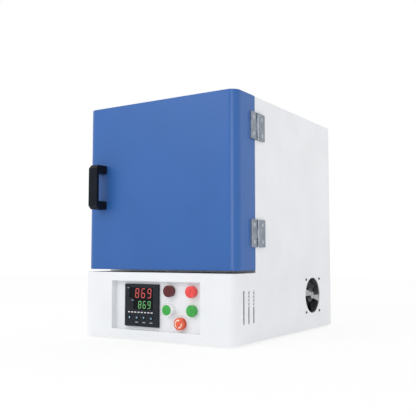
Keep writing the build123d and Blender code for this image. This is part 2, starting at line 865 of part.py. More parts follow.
# Lamps: a flanged body through the panel, and a lens with a rounded rim on it
for name, place, reach in (
    ("alarm_lamp", alarm_place, alarm_lens_reach),
    ("power_lamp", power_place, power_lens_reach),
    ("run_lamp", run_place, run_lens_reach),
):
    with BuildPart(front_plane(panel_y, *place)) as lamp_body:
        Cylinder(lens_radius + screw_clearance, lamp_flange, align=(Align.CENTER, Align.CENTER, Align.MIN))
        Cylinder(barrel_radius, barrel_length, align=(Align.CENTER, Align.CENTER, Align.MAX))
    lamp_body.part.label = f"{name}_body"
    export_step(lamp_body.part, f"parts/{name}_body.step")
    with BuildPart(front_plane(panel_y - lamp_flange, *place)) as lamp_lens:
        Cylinder(lens_radius, reach - lamp_flange, align=(Align.CENTER, Align.CENTER, Align.MIN))
        fillet(lamp_lens.edges().group_by(Axis.Y)[0], lens_edge)
    lamp_lens.part.label = f"{name}_lens"
    export_step(lamp_lens.part, f"parts/{name}_lens.step")

# Start button: a bright collar, and the cap that slides in it
with BuildPart(front_plane(panel_y, *start_place)) as start_button_collar:
    Cylinder(collar_radius, start_collar_reach, align=(Align.CENTER, Align.CENTER, Align.MIN))
    chamfer(start_button_collar.edges().group_by(Axis.Y)[0], cap_edge)
    Cylinder(barrel_radius, barrel_length, align=(Align.CENTER, Align.CENTER, Align.MAX))
    with Locations((0, 0, start_collar_reach)):
        Cylinder(
            start_cap_radius + cap_clearance,
            start_collar_reach - start_cap_reach + start_cap_depth + start_travel + cap_edge,
            align=(Align.CENTER, Align.CENTER, Align.MAX),
            mode=Mode.SUBTRACT,
        )
        Cylinder(
            plunger_radius + guide_clearance,
            start_collar_reach + 2 * start_travel,
            align=(Align.CENTER, Align.CENTER, Align.MAX),
            mode=Mode.SUBTRACT,
        )
start_button_collar.part.label = "start_button_collar"
export_step(start_button_collar.part, "parts/start_button_collar.step")

with BuildPart(front_plane(panel_y - start_cap_reach, *start_place)) as start_button_cap:
    Cylinder(start_cap_radius, start_cap_depth, align=(Align.CENTER, Align.CENTER, Align.MAX))
    fillet(start_button_cap.edges().group_by(Axis.Y)[0], cap_edge)
    plunger_length = start_cap_reach + start_travel / 2
    Cylinder(plunger_radius, plunger_length, align=(Align.CENTER, Align.CENTER, Align.MAX))
start_button_cap.part.label = "start_button_cap"
export_step(start_button_cap.part, "parts/start_button_cap.step")

# Emergency stop: collar, sliding stem, and the mushroom head that twists on the stem
with BuildPart(front_plane(panel_y, *stop_place)) as emergency_stop_collar:
    rim_radius = collar_radius - stop_grip_depth
    Cylinder(rim_radius, stop_collar_reach, align=(Align.CENTER, Align.CENTER, Align.MIN))
    chamfer(emergency_stop_collar.edges().group_by(Axis.Y)[0], cap_edge)
    Cylinder(barrel_radius, barrel_length, align=(Align.CENTER, Align.CENTER, Align.MAX))
    with Locations((0, 0, stop_collar_reach)):
        Cylinder(
            stop_stem_radius + guide_clearance,
            stop_collar_reach + 2 * stop_travel + cap_edge,
            align=(Align.CENTER, Align.CENTER, Align.MAX),
            mode=Mode.SUBTRACT,
        )
emergency_stop_collar.part.label = "emergency_stop_collar"
export_step(emergency_stop_collar.part, "parts/emergency_stop_collar.step")

stop_neck_radius = stop_stem_radius - stop_neck_step
with BuildPart(front_plane(panel_y - stop_head_base, *stop_place)) as emergency_stop_stem:
    Cylinder(stop_stem_radius, stop_head_base + stop_travel, align=(Align.CENTER, Align.CENTER, Align.MAX))
    Cylinder(stop_neck_radius, stop_travel, align=(Align.CENTER, Align.CENTER, Align.MIN))
emergency_stop_stem.part.label = "emergency_stop_stem"
export_step(emergency_stop_stem.part, "parts/emergency_stop_stem.step")

head_height = stop_head_reach - stop_head_base - cap_clearance
with BuildPart(front_plane(panel_y - stop_head_base - cap_clearance, *stop_place)) as emergency_stop_head:
    Cylinder(stop_head_radius, head_height, align=(Align.CENTER, Align.CENTER, Align.MIN))
    fillet(emergency_stop_head.edges().group_by(Axis.Y)[0], stop_head_rounding)
    chamfer(emergency_stop_head.edges().group_by(Axis.Y)[-1], cap_edge)
    Cylinder(
        stop_neck_radius + shaft_clearance,
        stop_travel,
        align=(Align.CENTER, Align.CENTER, Align.MIN),
        mode=Mode.SUBTRACT,
    )
emergency_stop_head.part.label = "emergency_stop_head"
export_step(emergency_stop_head.part, "parts/emergency_stop_head.step")

# Mounting nuts behind the panel, one on each barrel
with BuildPart() as mounting_nuts:
    with BuildSketch(front_plane(panel_y + sheet)):
        with Locations(panel_places):
            RegularPolygon(nut_width / 2, 6, major_radius=False)
            Circle(barrel_radius + screw_clearance, mode=Mode.SUBTRACT)
    extrude(amount=-nut_thickness)
mounting_nuts.part.label = "mounting_nuts"
export_step(mounting_nuts.part, "parts/mounting_nuts.step")

# Heat sink, set on the base pan with upright fins beside the fan
fan_outer_x = right_x - sheet
fan_inner_x = fan_outer_x - fan_depth
web_x = fan_inner_x - heat_sink_gap - heat_sink_height
heat_sink_y = fan_y
with BuildPart() as heat_sink:
    slab(
        (web_x, web_x + heat_sink_web),
        (heat_sink_y - heat_sink_length / 2, heat_sink_y + heat_sink_length / 2),
        (pan_top_z, pan_top_z + heat_sink_width),
    )
    with BuildSketch(Plane.XY.offset(pan_top_z)):
        with Locations((web_x + heat_sink_web + (heat_sink_height - heat_sink_web) / 2, heat_sink_y)):
            fin_pitch = (heat_sink_length - heat_sink_fin) / (heat_sink_fins - 1)
            with GridLocations(0, fin_pitch, 1, heat_sink_fins):
                Rectangle(heat_sink_height - heat_sink_web, heat_sink_fin)
    extrude(amount=heat_sink_width)
heat_sink.part.label = "heat_sink"
export_step(heat_sink.part, "parts/heat_sink.step")

# Solid-state relay on the flat of the heat sink
with BuildPart() as solid_state_relay:
    slab(
        (web_x - relay_height, web_x),
        (heat_sink_y - relay_length / 2, heat_sink_y + relay_length / 2),
        (pan_top_z + (heat_sink_width - relay_width) / 2, pan_top_z + (heat_sink_width + relay_width) / 2),
    )
    for side in (-1, 1):
        end_y = heat_sink_y + side * (relay_length / 2 - terminal_way_recess / 2)
        slab(
            (web_x - relay_height, web_x - relay_height / 2),
            (end_y - terminal_way_recess / 2, end_y + terminal_way_recess / 2),
            (pan_top_z, pan_top_z + heat_sink_width),
            mode=Mode.SUBTRACT,
        )
solid_state_relay.part.label = "solid_state_relay"
export_step(solid_state_relay.part, "parts/solid_state_relay.step")

# Contactor that the emergency stop switches off
contactor_x = mid_x - contactor_from_middle
contactor_y = seam_y + contactor_from_seam
with BuildPart() as contactor:
    slab(
        (contactor_x - contactor_width / 2, contactor_x + contactor_width / 2),
        (contactor_y - contactor_length / 2, contactor_y + contactor_length / 2),
        (pan_top_z, pan_top_z + contactor_height),
    )
    for side in (-1, 1):
        end_y = contactor_y + side * (contactor_length - contactor_step) / 2
        slab(
            (contactor_x - contactor_width / 2, contactor_x + contactor_width / 2),
            (end_y - contactor_step / 2, end_y + contactor_step / 2),
            (pan_top_z + contactor_height - 2 * contactor_step, pan_top_z + contactor_height),
            mode=Mode.SUBTRACT,
        )
contactor.part.label = "contactor"
export_step(contactor.part, "parts/contactor.step")

# Terminal block beside the cable gland
terminal_y = back_y - terminal_from_back
with BuildPart() as terminal_block:
    slab(
        (gland_x - terminal_strip_width / 2, gland_x + terminal_strip_width / 2),
        (terminal_y - terminal_strip_length / 2, terminal_y + terminal_strip_length / 2),
        (pan_top_z, pan_top_z + terminal_strip_height),
    )
    way_pitch = terminal_strip_width / terminal_ways
    with BuildSketch(Plane.XY.offset(pan_top_z + terminal_strip_height)):
        with Locations((gland_x, terminal_y)):
            with GridLocations(way_pitch, 0, terminal_ways, 1):
                Rectangle(way_pitch - sheet, terminal_way_recess)
    extrude(amount=-terminal_way_recess, mode=Mode.SUBTRACT)
terminal_block.part.label = "terminal_block"
export_step(terminal_block.part, "parts/terminal_block.step")

# Fan frame: a cast ring with square ends, and two flared struts that carry the motor boss
fan_duct_radius = fan_size / 2 - fan_wall
with BuildPart() as fan_frame:
    with BuildSketch(side_plane(fan_outer_x, fan_y, fan_z)):
        Rectangle(fan_size, fan_size)
    extrude(amount=-fan_plate)
    with BuildSketch(side_plane(fan_inner_x, fan_y, fan_z)):
        Rectangle(fan_size, fan_size)
    extrude(amount=fan_plate)
    fillet(fan_frame.edges().filter_by(Axis.X), fan_corner_radius)
    with BuildSketch(side_plane(fan_outer_x, fan_y, fan_z)):
        Circle(fan_size / 2 - fan_body_inset)
    extrude(amount=-fan_depth)
    with BuildSketch(side_plane(fan_outer_x, fan_y, fan_z)):
        Circle(fan_duct_radius)
        with GridLocations(fan_hole_pitch, fan_hole_pitch, 2, 2):
            Circle(fan_screw_radius + screw_clearance)
    extrude(amount=-fan_depth, mode=Mode.SUBTRACT)
    with BuildSketch(side_plane(fan_outer_x, fan_y, fan_z)):
        Circle(fan_boss_radius)
    extrude(amount=-fan_boss_depth)
    with BuildSketch(side_plane(fan_outer_x, fan_y, fan_z)):
        with BuildLine():
            half = fan_size / 2
            Polyline((0, 0), (-half, 0), (-half, fan_strut_flare), (0, fan_strut_root), close=True)
        strut = make_face(mode=Mode.PRIVATE)
        with PolarLocations(0, fan_strut_count):
            add(strut)
        Circle(fan_duct_radius + fan_wall / 2, mode=Mode.INTERSECT)
    extrude(amount=-fan_strut_depth)
    with BuildSketch(side_plane(fan_outer_x - fan_boss_depth, fan_y, fan_z)):
        Circle(fan_shaft_radius + shaft_clearance)
    extrude(amount=fan_boss_depth - sheet, mode=Mode.SUBTRACT)
fan_frame.part.label = "fan_frame"
export_step(fan_frame.part, "parts/fan_frame.step")

# Fan impeller: hub, shaft and twisted blades
impeller_outer_x = fan_outer_x - fan_boss_depth - impeller_gap
blade_tip_radius = fan_duct_radius - blade_tip_clearance
blade_root_radius = fan_hub_radius - sheet
impeller_mid_x = impeller_outer_x - impeller_depth / 2


def blade_section(turn, radius, chord, lean):
    """Blade section square to its own radius: a thin strip leaning from the shaft's direction."""
    outward = Vector(0, cos(radians(turn)), sin(radians(turn)))
    centre = Vector(impeller_mid_x, fan_y, fan_z) + outward * radius
    with BuildSketch(Plane(origin=centre, x_dir=(1, 0, 0), z_dir=outward)) as section:
        Rectangle(chord, blade_thickness, rotation=lean)
    return section.sketch.face()


with BuildPart() as fan_impeller:
    with BuildSketch(side_plane(impeller_outer_x, fan_y, fan_z)):
        Circle(fan_hub_radius)
    extrude(amount=-impeller_depth)
    with BuildSketch(side_plane(impeller_outer_x, fan_y, fan_z)):
        Circle(fan_shaft_radius)
    extrude(amount=impeller_gap + fan_boss_depth - 2 * sheet)
    for blade in range(blade_count):
        turn = blade * 360 / blade_count
        loft(
            [
                blade_section(turn, blade_root_radius, blade_root_chord, blade_root_angle),
                blade_section(turn, blade_tip_radius, blade_tip_chord, blade_tip_angle),
            ]
        )
fan_impeller.part.label = "fan_impeller"
export_step(fan_impeller.part, "parts/fan_impeller.step")

# Pan-head screws of the fan and the rear cover
with BuildPart() as casing_screws:
    with BuildSketch(side_plane(right_x)):
        with Locations(fan_screw_places):
            Circle(pan_head_radius)
    extrude(amount=pan_head_height)
    with BuildSketch(front_plane(back_y)):
        with Locations(rear_screw_places):
            Circle(pan_head_radius)
    extrude(amount=-pan_head_height)
    head_rims = casing_screws.edges().filter_by(GeomType.CIRCLE)
    fillet(head_rims.group_by(Axis.X)[-1] + head_rims.group_by(Axis.Y)[-1], pan_head_height / 2)
    with BuildSketch(side_plane(right_x)):
        with Locations(fan_screw_places):
            Circle(pan_shank_radius)
    extrude(amount=-(sheet + fan_plate))
    with BuildSketch(front_plane(back_y)):
        with Locations(rear_screw_places):
            Circle(pan_shank_radius)
    extrude(amount=sheet)
casing_screws.part.label = "casing_screws"
export_step(casing_screws.part, "parts/casing_screws.step")


# Hinges: knuckles of both leaves alternate on one pin, so each leaf is cut clear of the other's knuckles
knuckle_length = (hinge_height - 2 * hinge_knuckle_gap) / 3
leaf_start = hinge_barrel_radius + hinge_knuckle_gap
web_end = leaf_start + hinge_web_overlap


def hinge_leaf(direction, mid_z, own_spans, pin_clearance):
    """One leaf: direction is +1 for the case's and -1 for the door's; own_spans are its knuckles' heights."""
    with BuildPart() as leaf:
        with BuildSketch(Plane.XY.offset(mid_z - hinge_height / 2)):
            with BuildLine():
                Polyline(
                    (right_x, pin_y + direction * leaf_start),
                    (right_x + hinge_leaf_thickness - hinge_bevel, pin_y + direction * leaf_start),
                    (right_x + hinge_leaf_thickness, pin_y + direction * (leaf_start + hinge_bevel_width)),
                    (right_x + hinge_leaf_thickness, pin_y + direction * (hinge_width - hinge_edge_bevel)),
                    (right_x + hinge_leaf_thickness - hinge_edge_bevel, pin_y + direction * hinge_width),
                    (right_x, pin_y + direction * hinge_width),
                    close=True,
                )
            make_face()
        extrude(amount=hinge_height)
        rims = leaf.edges().filter_by(Axis.Y).group_by(Axis.X)[-1]
        chamfer(rims, hinge_edge_bevel)
        for low_z, high_z in own_spans:
            with BuildSketch(Plane.XY.offset(low_z)):
                with Locations((pin_x, pin_y)):
                    Circle(hinge_barrel_radius)
                with BuildLine():
                    Polyline(
                        (right_x + hinge_knuckle_gap, pin_y),
                        (pin_x, pin_y + direction * hinge_barrel_radius),
                        (right_x + hinge_leaf_thickness - hinge_bevel, pin_y + direction * web_end),
                        (right_x, pin_y + direction * web_end),
                        (right_x, pin_y + direction * hinge_barrel_radius / 2),
                        close=True,
                    )
                make_face()
            extrude(amount=high_z - low_z)
            with BuildSketch(Plane.XY.offset(low_z)):
                with Locations((pin_x, pin_y)):
                    Circle(hinge_pin_radius + pin_clearance)
            extrude(amount=high_z - low_z, mode=Mode.SUBTRACT)
        screw_y = pin_y + direction * hinge_screw_from_pin
        with Locations(side_plane(right_x + hinge_leaf_thickness, screw_y, mid_z)):
            with GridLocations(0, hinge_screw_spacing, 1, 2):
                hole_radius = hinge_screw_radius + screw_clearance
                CounterSinkHole(hole_radius, countersink_radius, counter_sink_angle=90)
    return leaf.part


def knuckle_spans(mid_z):
    """Heights of the three knuckles, from the bottom up."""
    low = mid_z - hinge_height / 2
    step = knuckle_length + hinge_knuckle_gap
    return [(low + n * step, low + n * step + knuckle_length) for n in range(3)]


with BuildPart() as case_hinge_leaves:
    for mid_z in hinge_mid_heights:
        spans = knuckle_spans(mid_z)
        add(hinge_leaf(1, mid_z, (spans[0], spans[2]), hinge_pin_clearance / 2))
case_hinge_leaves.part.label = "case_hinge_leaves"
export_step(case_hinge_leaves.part, "parts/case_hinge_leaves.step")

with BuildPart() as door_hinge_leaves:
    for mid_z in hinge_mid_heights:
        add(hinge_leaf(-1, mid_z, (knuckle_spans(mid_z)[1],), hinge_pin_clearance))
        slab(
            (right_x, right_x + hinge_relief),
            (door_back_y, pin_y),
            (mid_z - hinge_height / 2, mid_z + hinge_height / 2),
            mode=Mode.SUBTRACT,
        )
door_hinge_leaves.part.label = "door_hinge_leaves"
export_step(door_hinge_leaves.part, "parts/door_hinge_leaves.step")

with BuildPart() as hinge_pins:
    for mid_z in hinge_mid_heights:
        with BuildSketch(Plane.XY.offset(mid_z - hinge_height / 2)):
            with Locations((pin_x, pin_y)):
                Circle(hinge_pin_radius)
        extrude(amount=hinge_height)
hinge_pins.part.label = "hinge_pins"
export_step(hinge_pins.part, "parts/hinge_pins.step")

# Countersunk screws of the two kinds of leaf, whose heads lie a little below its face
screw_head_radius = countersink_radius - hinge_screw_sink - 2 * screw_clearance
for name, direction in (("case_hinge_screws", 1), ("door_hinge_screws", -1)):
    with BuildPart() as hinge_screws:
        for mid_z in hinge_mid_heights:
            for level in (-1, 1):
                seat = side_plane(
                    right_x + hinge_leaf_thickness - hinge_screw_sink,
                    pin_y + direction * hinge_screw_from_pin,
                    mid_z + level * hinge_screw_spacing / 2,
                )
                with BuildSketch(Plane(seat.origin, x_dir=seat.z_dir, z_dir=(0, 0, 1))):
                    with BuildLine():
                        Polyline(
                            (-screw_clearance, 0),
                            (-screw_clearance, screw_head_radius),
                            (hinge_screw_radius - screw_head_radius - screw_clearance, hinge_screw_radius),
                            (-hinge_screw_length, hinge_screw_radius),
                            (-hinge_screw_length, 0),
                            close=True,
                        )
                    make_face()
                revolve(axis=Axis(seat.origin, seat.z_dir))
                with BuildSketch(seat.offset(-screw_clearance)):
                    RegularPolygon(hinge_socket_radius, 6)
                extrude(amount=-sheet, mode=Mode.SUBTRACT)
    hinge_screws.part.label = name
    export_step(hinge_screws.part, f"parts/{name}.step")

# Door shell: a folded pan with rounded front corners and a lip set in from its back edge
rebate_y = door_back_y - door_rebate
handle_x = left_x + handle_from_left
handle_hole_places = [(handle_x, door_mid_z + side * handle_screw_spacing / 2) for side in (-1, 1)]
with BuildPart() as door_shell:
    extrude(
        rounded_front_plan((left_x, right_x), (door_front_y, door_back_y), door_bottom_z, door_corner_radius),
        amount=case_top_z - door_bottom_z,
    )
    front_rims = door_shell.edges().filter_by(Axis.X).group_by(Axis.Y)[0]
    fillet(front_rims, door_edge_radius)
    extrude(
        rounded_front_plan(
            (inner_left_x, inner_right_x),
            (door_front_y + sheet, rebate_y - sheet),
            door_bottom_z + sheet,
            door_corner_radius - sheet,
        ),
        amount=case_top_z - door_bottom_z - 2 * sheet,
        mode=Mode.SUBTRACT,
    )
    slab(
        (inner_left_x + door_lip, inner_right_x - door_lip),
        (rebate_y - sheet, rebate_y),
        (door_bottom_z + sheet + door_lip, case_top_z - sheet - door_lip),
        mode=Mode.SUBTRACT,
    )
    slab(
        (inner_left_x, inner_right_x),
        (rebate_y, door_back_y),
        (door_bottom_z + sheet, case_top_z - sheet),
        mode=Mode.SUBTRACT,
    )
    with BuildSketch(front_plane(door_front_y)):
        with Locations(handle_hole_places):
            Circle(handle_screw_radius + screw_clearance)
    extrude(amount=-sheet, mode=Mode.SUBTRACT)
    with BuildSketch(side_plane(right_x)):
        for mid_z in hinge_mid_heights:
            with Locations((pin_y - hinge_screw_from_pin, mid_z)):
                with GridLocations(0, hinge_screw_spacing, 1, 2):
                    Circle(hinge_screw_radius + screw_clearance)
    extrude(amount=-sheet, mode=Mode.SUBTRACT)
door_shell.part.label = "door_shell"
export_step(door_shell.part, "parts/door_shell.step")

# Door liner, the steel plate round the plug on the inside of the door
plug_half_x = chamber_half_x + mouth_flare - plug_clearance
plug_half_z = chamber_half_z + mouth_flare - plug_clearance
liner_face_y = rebate_y + liner_plate
with BuildPart() as door_liner:
    slab(
        (inner_left_x + panel_clearance, inner_right_x - panel_clearance),
        (rebate_y, liner_face_y),
        (door_bottom_z + sheet + panel_clearance, case_top_z - sheet - panel_clearance),
    )
    extrude(
        square(rebate_y, plug_half_x + plug_liner_clearance, plug_half_z + plug_liner_clearance, door_mid_z),
        amount=-liner_plate,
        mode=Mode.SUBTRACT,
    )
door_liner.part.label = "door_liner"
export_step(door_liner.part, "parts/door_liner.step")

# Door insulation between the skin and the liner, relieved for the screws of the handle and hinges
with BuildPart() as door_insulation:
    slab(
        (inner_left_x + door_fibre_relief, inner_right_x - door_fibre_relief),
        (door_front_y + sheet + door_fibre_relief, rebate_y - sheet),
        (door_bottom_z + sheet + panel_clearance, case_top_z - sheet - panel_clearance),
    )
    slab(
        (inner_left_x + door_lip, inner_right_x - door_lip),
        (rebate_y - sheet, rebate_y),
        (door_bottom_z + sheet + door_lip, case_top_z - sheet - door_lip),
    )
door_insulation.part.label = "door_insulation"
export_step(door_insulation.part, "parts/door_insulation.step")

# Door plug: the tapered fibre block that fills the mouth
with BuildPart() as door_plug:
    extrude(square(rebate_y, plug_half_x, plug_half_z, door_mid_z), amount=-(seam_y - rebate_y))
    loft(
        [
            square(seam_y, plug_half_x, plug_half_z, door_mid_z).face(),
            square(plug_end_y, plug_half_x - plug_taper, plug_half_z - plug_taper, door_mid_z).face(),
        ]
    )
door_plug.part.label = "door_plug"
export_step(door_plug.part, "parts/door_plug.step")

# Door seal, a rope ring that lies on the liner and meets the front frame
seal_half_x = frame_half_x + seal_margin
seal_half_z = frame_half_z + seal_margin
with BuildPart() as door_seal:
    with BuildSketch(front_plane(liner_face_y)):
        with Locations((mid_x, door_mid_z)):
            RectangleRounded(2 * seal_half_x, 2 * seal_half_z, seal_margin)
            RectangleRounded(
                2 * (seal_half_x - seal_thickness),
                2 * (seal_half_z - seal_thickness),
                seal_margin - seal_thickness,
                mode=Mode.SUBTRACT,
            )
    extrude(amount=-(seam_y - seal_clearance - liner_face_y))
    fillet(door_seal.edges().group_by(Axis.Y)[-1], seal_round)
door_seal.part.label = "door_seal"
export_step(door_seal.part, "parts/door_seal.step")

# Strike discs on the liner, one opposite each magnet
with BuildPart() as strike_plates:
    with BuildSketch(front_plane(liner_face_y)):
        with Locations(magnet_places):
            Circle(strike_radius)
    extrude(amount=-(door_back_y - liner_face_y))
    chamfer(strike_plates.edges().group_by(Axis.Y)[-1], door_gap)
strike_plates.part.label = "strike_plates"
export_step(strike_plates.part, "parts/strike_plates.step")

# Handle: a moulded bridge with chamfered shoulders
with BuildPart() as handle:
    with BuildSketch(Plane(origin=(handle_x, door_front_y, door_mid_z), x_dir=(0, -1, 0), z_dir=(1, 0, 0))):
        with BuildLine():
            Polyline(
                (0, -handle_height / 2),
                (handle_reach - handle_chamfer, -handle_height / 2),
                (handle_reach, -handle_height / 2 + handle_chamfer),
                (handle_reach, handle_height / 2 - handle_chamfer),
                (handle_reach - handle_chamfer, handle_height / 2),
                (0, handle_height / 2),
                (0, handle_height / 2 - handle_arm),
                (handle_reach - handle_bar, handle_height / 2 - handle_arm),
                (handle_reach - handle_bar, -handle_height / 2 + handle_arm),
                (0, -handle_height / 2 + handle_arm),
                close=True,
            )
        make_face()
    extrude(amount=handle_width / 2, both=True)
    fillet(handle.faces().filter_by(Axis.X).edges(), handle_edge_radius)
    with BuildSketch(front_plane(door_front_y)):
        with Locations(handle_hole_places):
            Circle(handle_screw_radius + screw_clearance)
    extrude(amount=handle_screw_depth, mode=Mode.SUBTRACT)
handle.part.label = "handle"
export_step(handle.part, "parts/handle.step")

# Handle screws, put in from inside the door skin
with BuildPart() as handle_screws:
    with BuildSketch(front_plane(door_front_y + sheet)):
        with Locations(handle_hole_places):
            Circle(handle_screw_head_radius)
    extrude(amount=-pan_head_height)
    with BuildSketch(front_plane(door_front_y + sheet)):
        with Locations(handle_hole_places):
            Circle(handle_screw_radius)
    extrude(amount=handle_screw_depth)
handle_screws.part.label = "handle_screws"
export_step(handle_screws.part, "parts/handle_screws.step")
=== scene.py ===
"""Looks of the bench-top muffle furnace: finishes for its pieces, the worked surfaces and the studio.

All lengths are in metres in the part's own frame: +Z up, the door faces -Y, the hinges are on +X.
"""
import math

import bmesh
import bpy
import numpy as np
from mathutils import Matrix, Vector


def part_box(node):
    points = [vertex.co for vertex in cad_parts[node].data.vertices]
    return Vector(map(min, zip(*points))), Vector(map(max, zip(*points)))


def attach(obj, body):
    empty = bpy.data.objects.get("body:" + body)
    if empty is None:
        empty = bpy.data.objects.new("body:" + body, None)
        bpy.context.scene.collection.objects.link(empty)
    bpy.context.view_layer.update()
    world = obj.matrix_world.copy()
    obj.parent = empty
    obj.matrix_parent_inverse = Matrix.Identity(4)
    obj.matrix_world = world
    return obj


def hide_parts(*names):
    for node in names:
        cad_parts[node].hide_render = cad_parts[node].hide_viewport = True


bl_info = {
    "name": "Muffle furnace",
    "version": (1, 0, 0),
    "blender": (4, 5, 0),
    "location": "3D View > Sidebar > Furnace",
    "description": "Dresses a bench-top muffle furnace with its finishes, controls, rope seal and studio",
    "category": "Object",
}

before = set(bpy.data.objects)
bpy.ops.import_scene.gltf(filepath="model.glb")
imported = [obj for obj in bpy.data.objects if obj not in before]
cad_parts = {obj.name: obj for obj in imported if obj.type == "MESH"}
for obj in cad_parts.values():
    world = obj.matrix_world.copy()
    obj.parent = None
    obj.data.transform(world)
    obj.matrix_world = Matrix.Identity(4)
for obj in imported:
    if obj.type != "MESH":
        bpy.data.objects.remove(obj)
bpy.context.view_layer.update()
MM = 0.001

# Printed and lit signs are films of this thickness
FILM = 0.12 * MM

# Dome and rim of the emergency stop's head, and how far its arrows stand off it
STOP_DOME = 1.2 * MM
STOP_RIM = 2.6 * MM
ARROW_LIFT = 0.02 * MM

# Share of plain white in the floor where the camera or a reflection sees it: the rest takes the shadow
FLOOR_GLOW = 0.8


def hex_colour(code):
    """sRGB hex code as linear colour: c / 12.92 below 0.04045, else ((c + 0.055) / 1.055) ^ 2.4."""
    channels = np.array([int(code[start : start + 2], 16) for start in (0, 2, 4)]) / 255.0
    linear = np.where(channels <= 0.04045, channels / 12.92, ((channels + 0.055) / 1.055) ** 2.4)
    return tuple(float(value) for value in linear)


def colour_setting(name, description, code):
    """A colour that the user may change, with its default given as an sRGB hex code."""
    return bpy.props.FloatVectorProperty(
        name=name, description=description, default=hex_colour(code),
        subtype="COLOR", size=3, min=0.0, max=1.0,
    )


def length_setting(name, description, millimetres):
    """A length that the user may change, with its default given in millimetres."""
    return bpy.props.FloatProperty(
        name=name, description=description, default=millimetres * MM, min=0.0, unit="LENGTH", precision=5
    )


class FurnaceColours(bpy.types.PropertyGroup):
    """Colours of the painted, moulded and lit pieces."""

    door: colour_setting("Door", "Blue powder coat of the door", "3163A9")
    case: colour_setting("Case", "White powder coat of the case", "ECEEF1")
    handle: colour_setting("Handle", "Moulded nylon of the handle", "10161F")
    controller: colour_setting("Controller", "Moulded ABS of the controller's bezel", "24282E")
    hot_digits: colour_setting("Measured value", "Lit segments of the upper display", "C9504C")
    set_digits: colour_setting("Set value", "Lit segments of the lower display", "6AB56B")
    alarm_lamp: colour_setting("Alarm lamp", "Dark red lens of the unlit lamp", "5A0C15")
    power_lamp: colour_setting("Power lamp", "Red lens of the lit lamp", "E44A48")
    run_lamp: colour_setting("Run lamp", "Green lens of the lit lamp", "38A344")
    start_cap: colour_setting("Start button", "Green cap of the push button", "2CAB3A")
    stop_head: colour_setting("Emergency stop", "Orange red head of the emergency stop", "E65A35")


class FurnaceSizes(bpy.types.PropertyGroup):
    """Sizes of the details that the solids leave to the looks."""

    upper_digit_height: length_setting("Upper digit height", "Height of a digit of the measured value", 19.8)
    upper_digit_pitch: length_setting("Upper digit pitch", "Spacing of the upper digits", 17.3)
    lower_digit_height: length_setting("Lower digit height", "Height of a digit of the set value", 15.5)
    lower_digit_pitch: length_setting("Lower digit pitch", "Spacing of the lower digits", 13.2)
    rope_pitch: length_setting("Rope pitch", "Length of one crossing of the seal's braid", 9.0)


class StudioSettings(bpy.types.PropertyGroup):
    """Light and camera."""

    world_strength: bpy.props.FloatProperty(
        name="Surround", description="Brightness of the white surround on the furnace", default=0.92, min=0.0
    )
    key_power: bpy.props.FloatProperty(
        name="Key light", description="Power of the soft light at the front", default=14.0,
        min=0.0, unit="POWER",
    )
    strip_power: bpy.props.FloatProperty(
        name="Strip light", description="Power of the tall light that the door's corner shows", default=9.0,
        min=0.0, unit="POWER",
    )
    lens: bpy.props.FloatProperty(
        name="Lens", description="Focal length on a 36 mm wide frame", default=55.57, min=1.0, unit="CAMERA"
    )
    camera_place: bpy.props.FloatVectorProperty(
        name="Camera", description="Place of the camera", default=(0.87245, -1.4110, 0.1903),
        subtype="XYZ", unit="LENGTH",
    )
    camera_turn: bpy.props.FloatProperty(
        name="Turn", description="Turn of the view to the left of +Y", default=math.radians(32.38),
        unit="ROTATION",
    )
    camera_rise: bpy.props.FloatProperty(
        name="Rise", description="Tilt of the view above level", default=math.radians(4.27), unit="ROTATION"
    )


def add_node(tree, kind, inputs=None, **properties):
    """Adds one node: properties are its settings, and each input is a value or the socket that feeds it."""
    node = tree.nodes.new(kind)
    for name, value in properties.items():
        setattr(node, name, value)
    for name, value in (inputs or {}).items():
        socket = node.inputs[name]
        if isinstance(value, bpy.types.NodeSocket):
            tree.links.new(value, socket)
        else:
            socket.default_value = value
    return node


def new_material(name, colour, metallic=0.0, roughness=0.5, **values):
    """Material with a Principled shader: returns it, its tree, its shader and its Object coordinates."""
    material = bpy.data.materials.new(name)
    material.use_nodes = True
    tree = material.node_tree
    shader = tree.nodes["Principled BSDF"]
    shader.inputs["Base Color"].default_value = (*colour, 1.0)
    shader.inputs["Metallic"].default_value = metallic
    shader.inputs["Roughness"].default_value = roughness
    for socket_name, value in values.items():
        shader.inputs[socket_name.replace("_", " ").title().replace("Ior", "IOR")].default_value = value
    coordinates = add_node(tree, "ShaderNodeTexCoord").outputs["Object"]
    return material, tree, shader, coordinates


def per_metre(millimetres):
    """Texture scale at which one feature of a noise is about this many millimetres."""
    return 1.0 / (millimetres * MM)


def tint(colour, amount):
    """The colour made lighter (amount over 1) or darker, kept within 0 to 1."""
    return tuple(min(1.0, channel * amount) for channel in colour)


def add_mottle(tree, shader, coordinates, dark, light, size_mm, detail=3.0):
    """Base colour that wanders between two colours over patches of the given size."""
    noise = add_node(
        tree, "ShaderNodeTexNoise", {"Vector": coordinates, "Scale": per_metre(size_mm), "Detail": detail}
    )
    ramp = add_node(tree, "ShaderNodeValToRGB", {"Fac": noise.outputs["Fac"]})
    ramp.color_ramp.elements[0].position = 0.35
    ramp.color_ramp.elements[0].color = (*dark, 1.0)
    ramp.color_ramp.elements[1].position = 0.65
    ramp.color_ramp.elements[1].color = (*light, 1.0)
    tree.links.new(ramp.outputs["Color"], shader.inputs["Base Color"])


def add_bump(tree, shader, height, depth_mm, strength=1.0):
    """Bump of a height pattern, whose full swing is the given depth."""
    bump = add_node(
        tree, "ShaderNodeBump", {"Height": height, "Distance": depth_mm * MM, "Strength": strength}
    )
    tree.links.new(bump.outputs["Normal"], shader.inputs["Normal"])


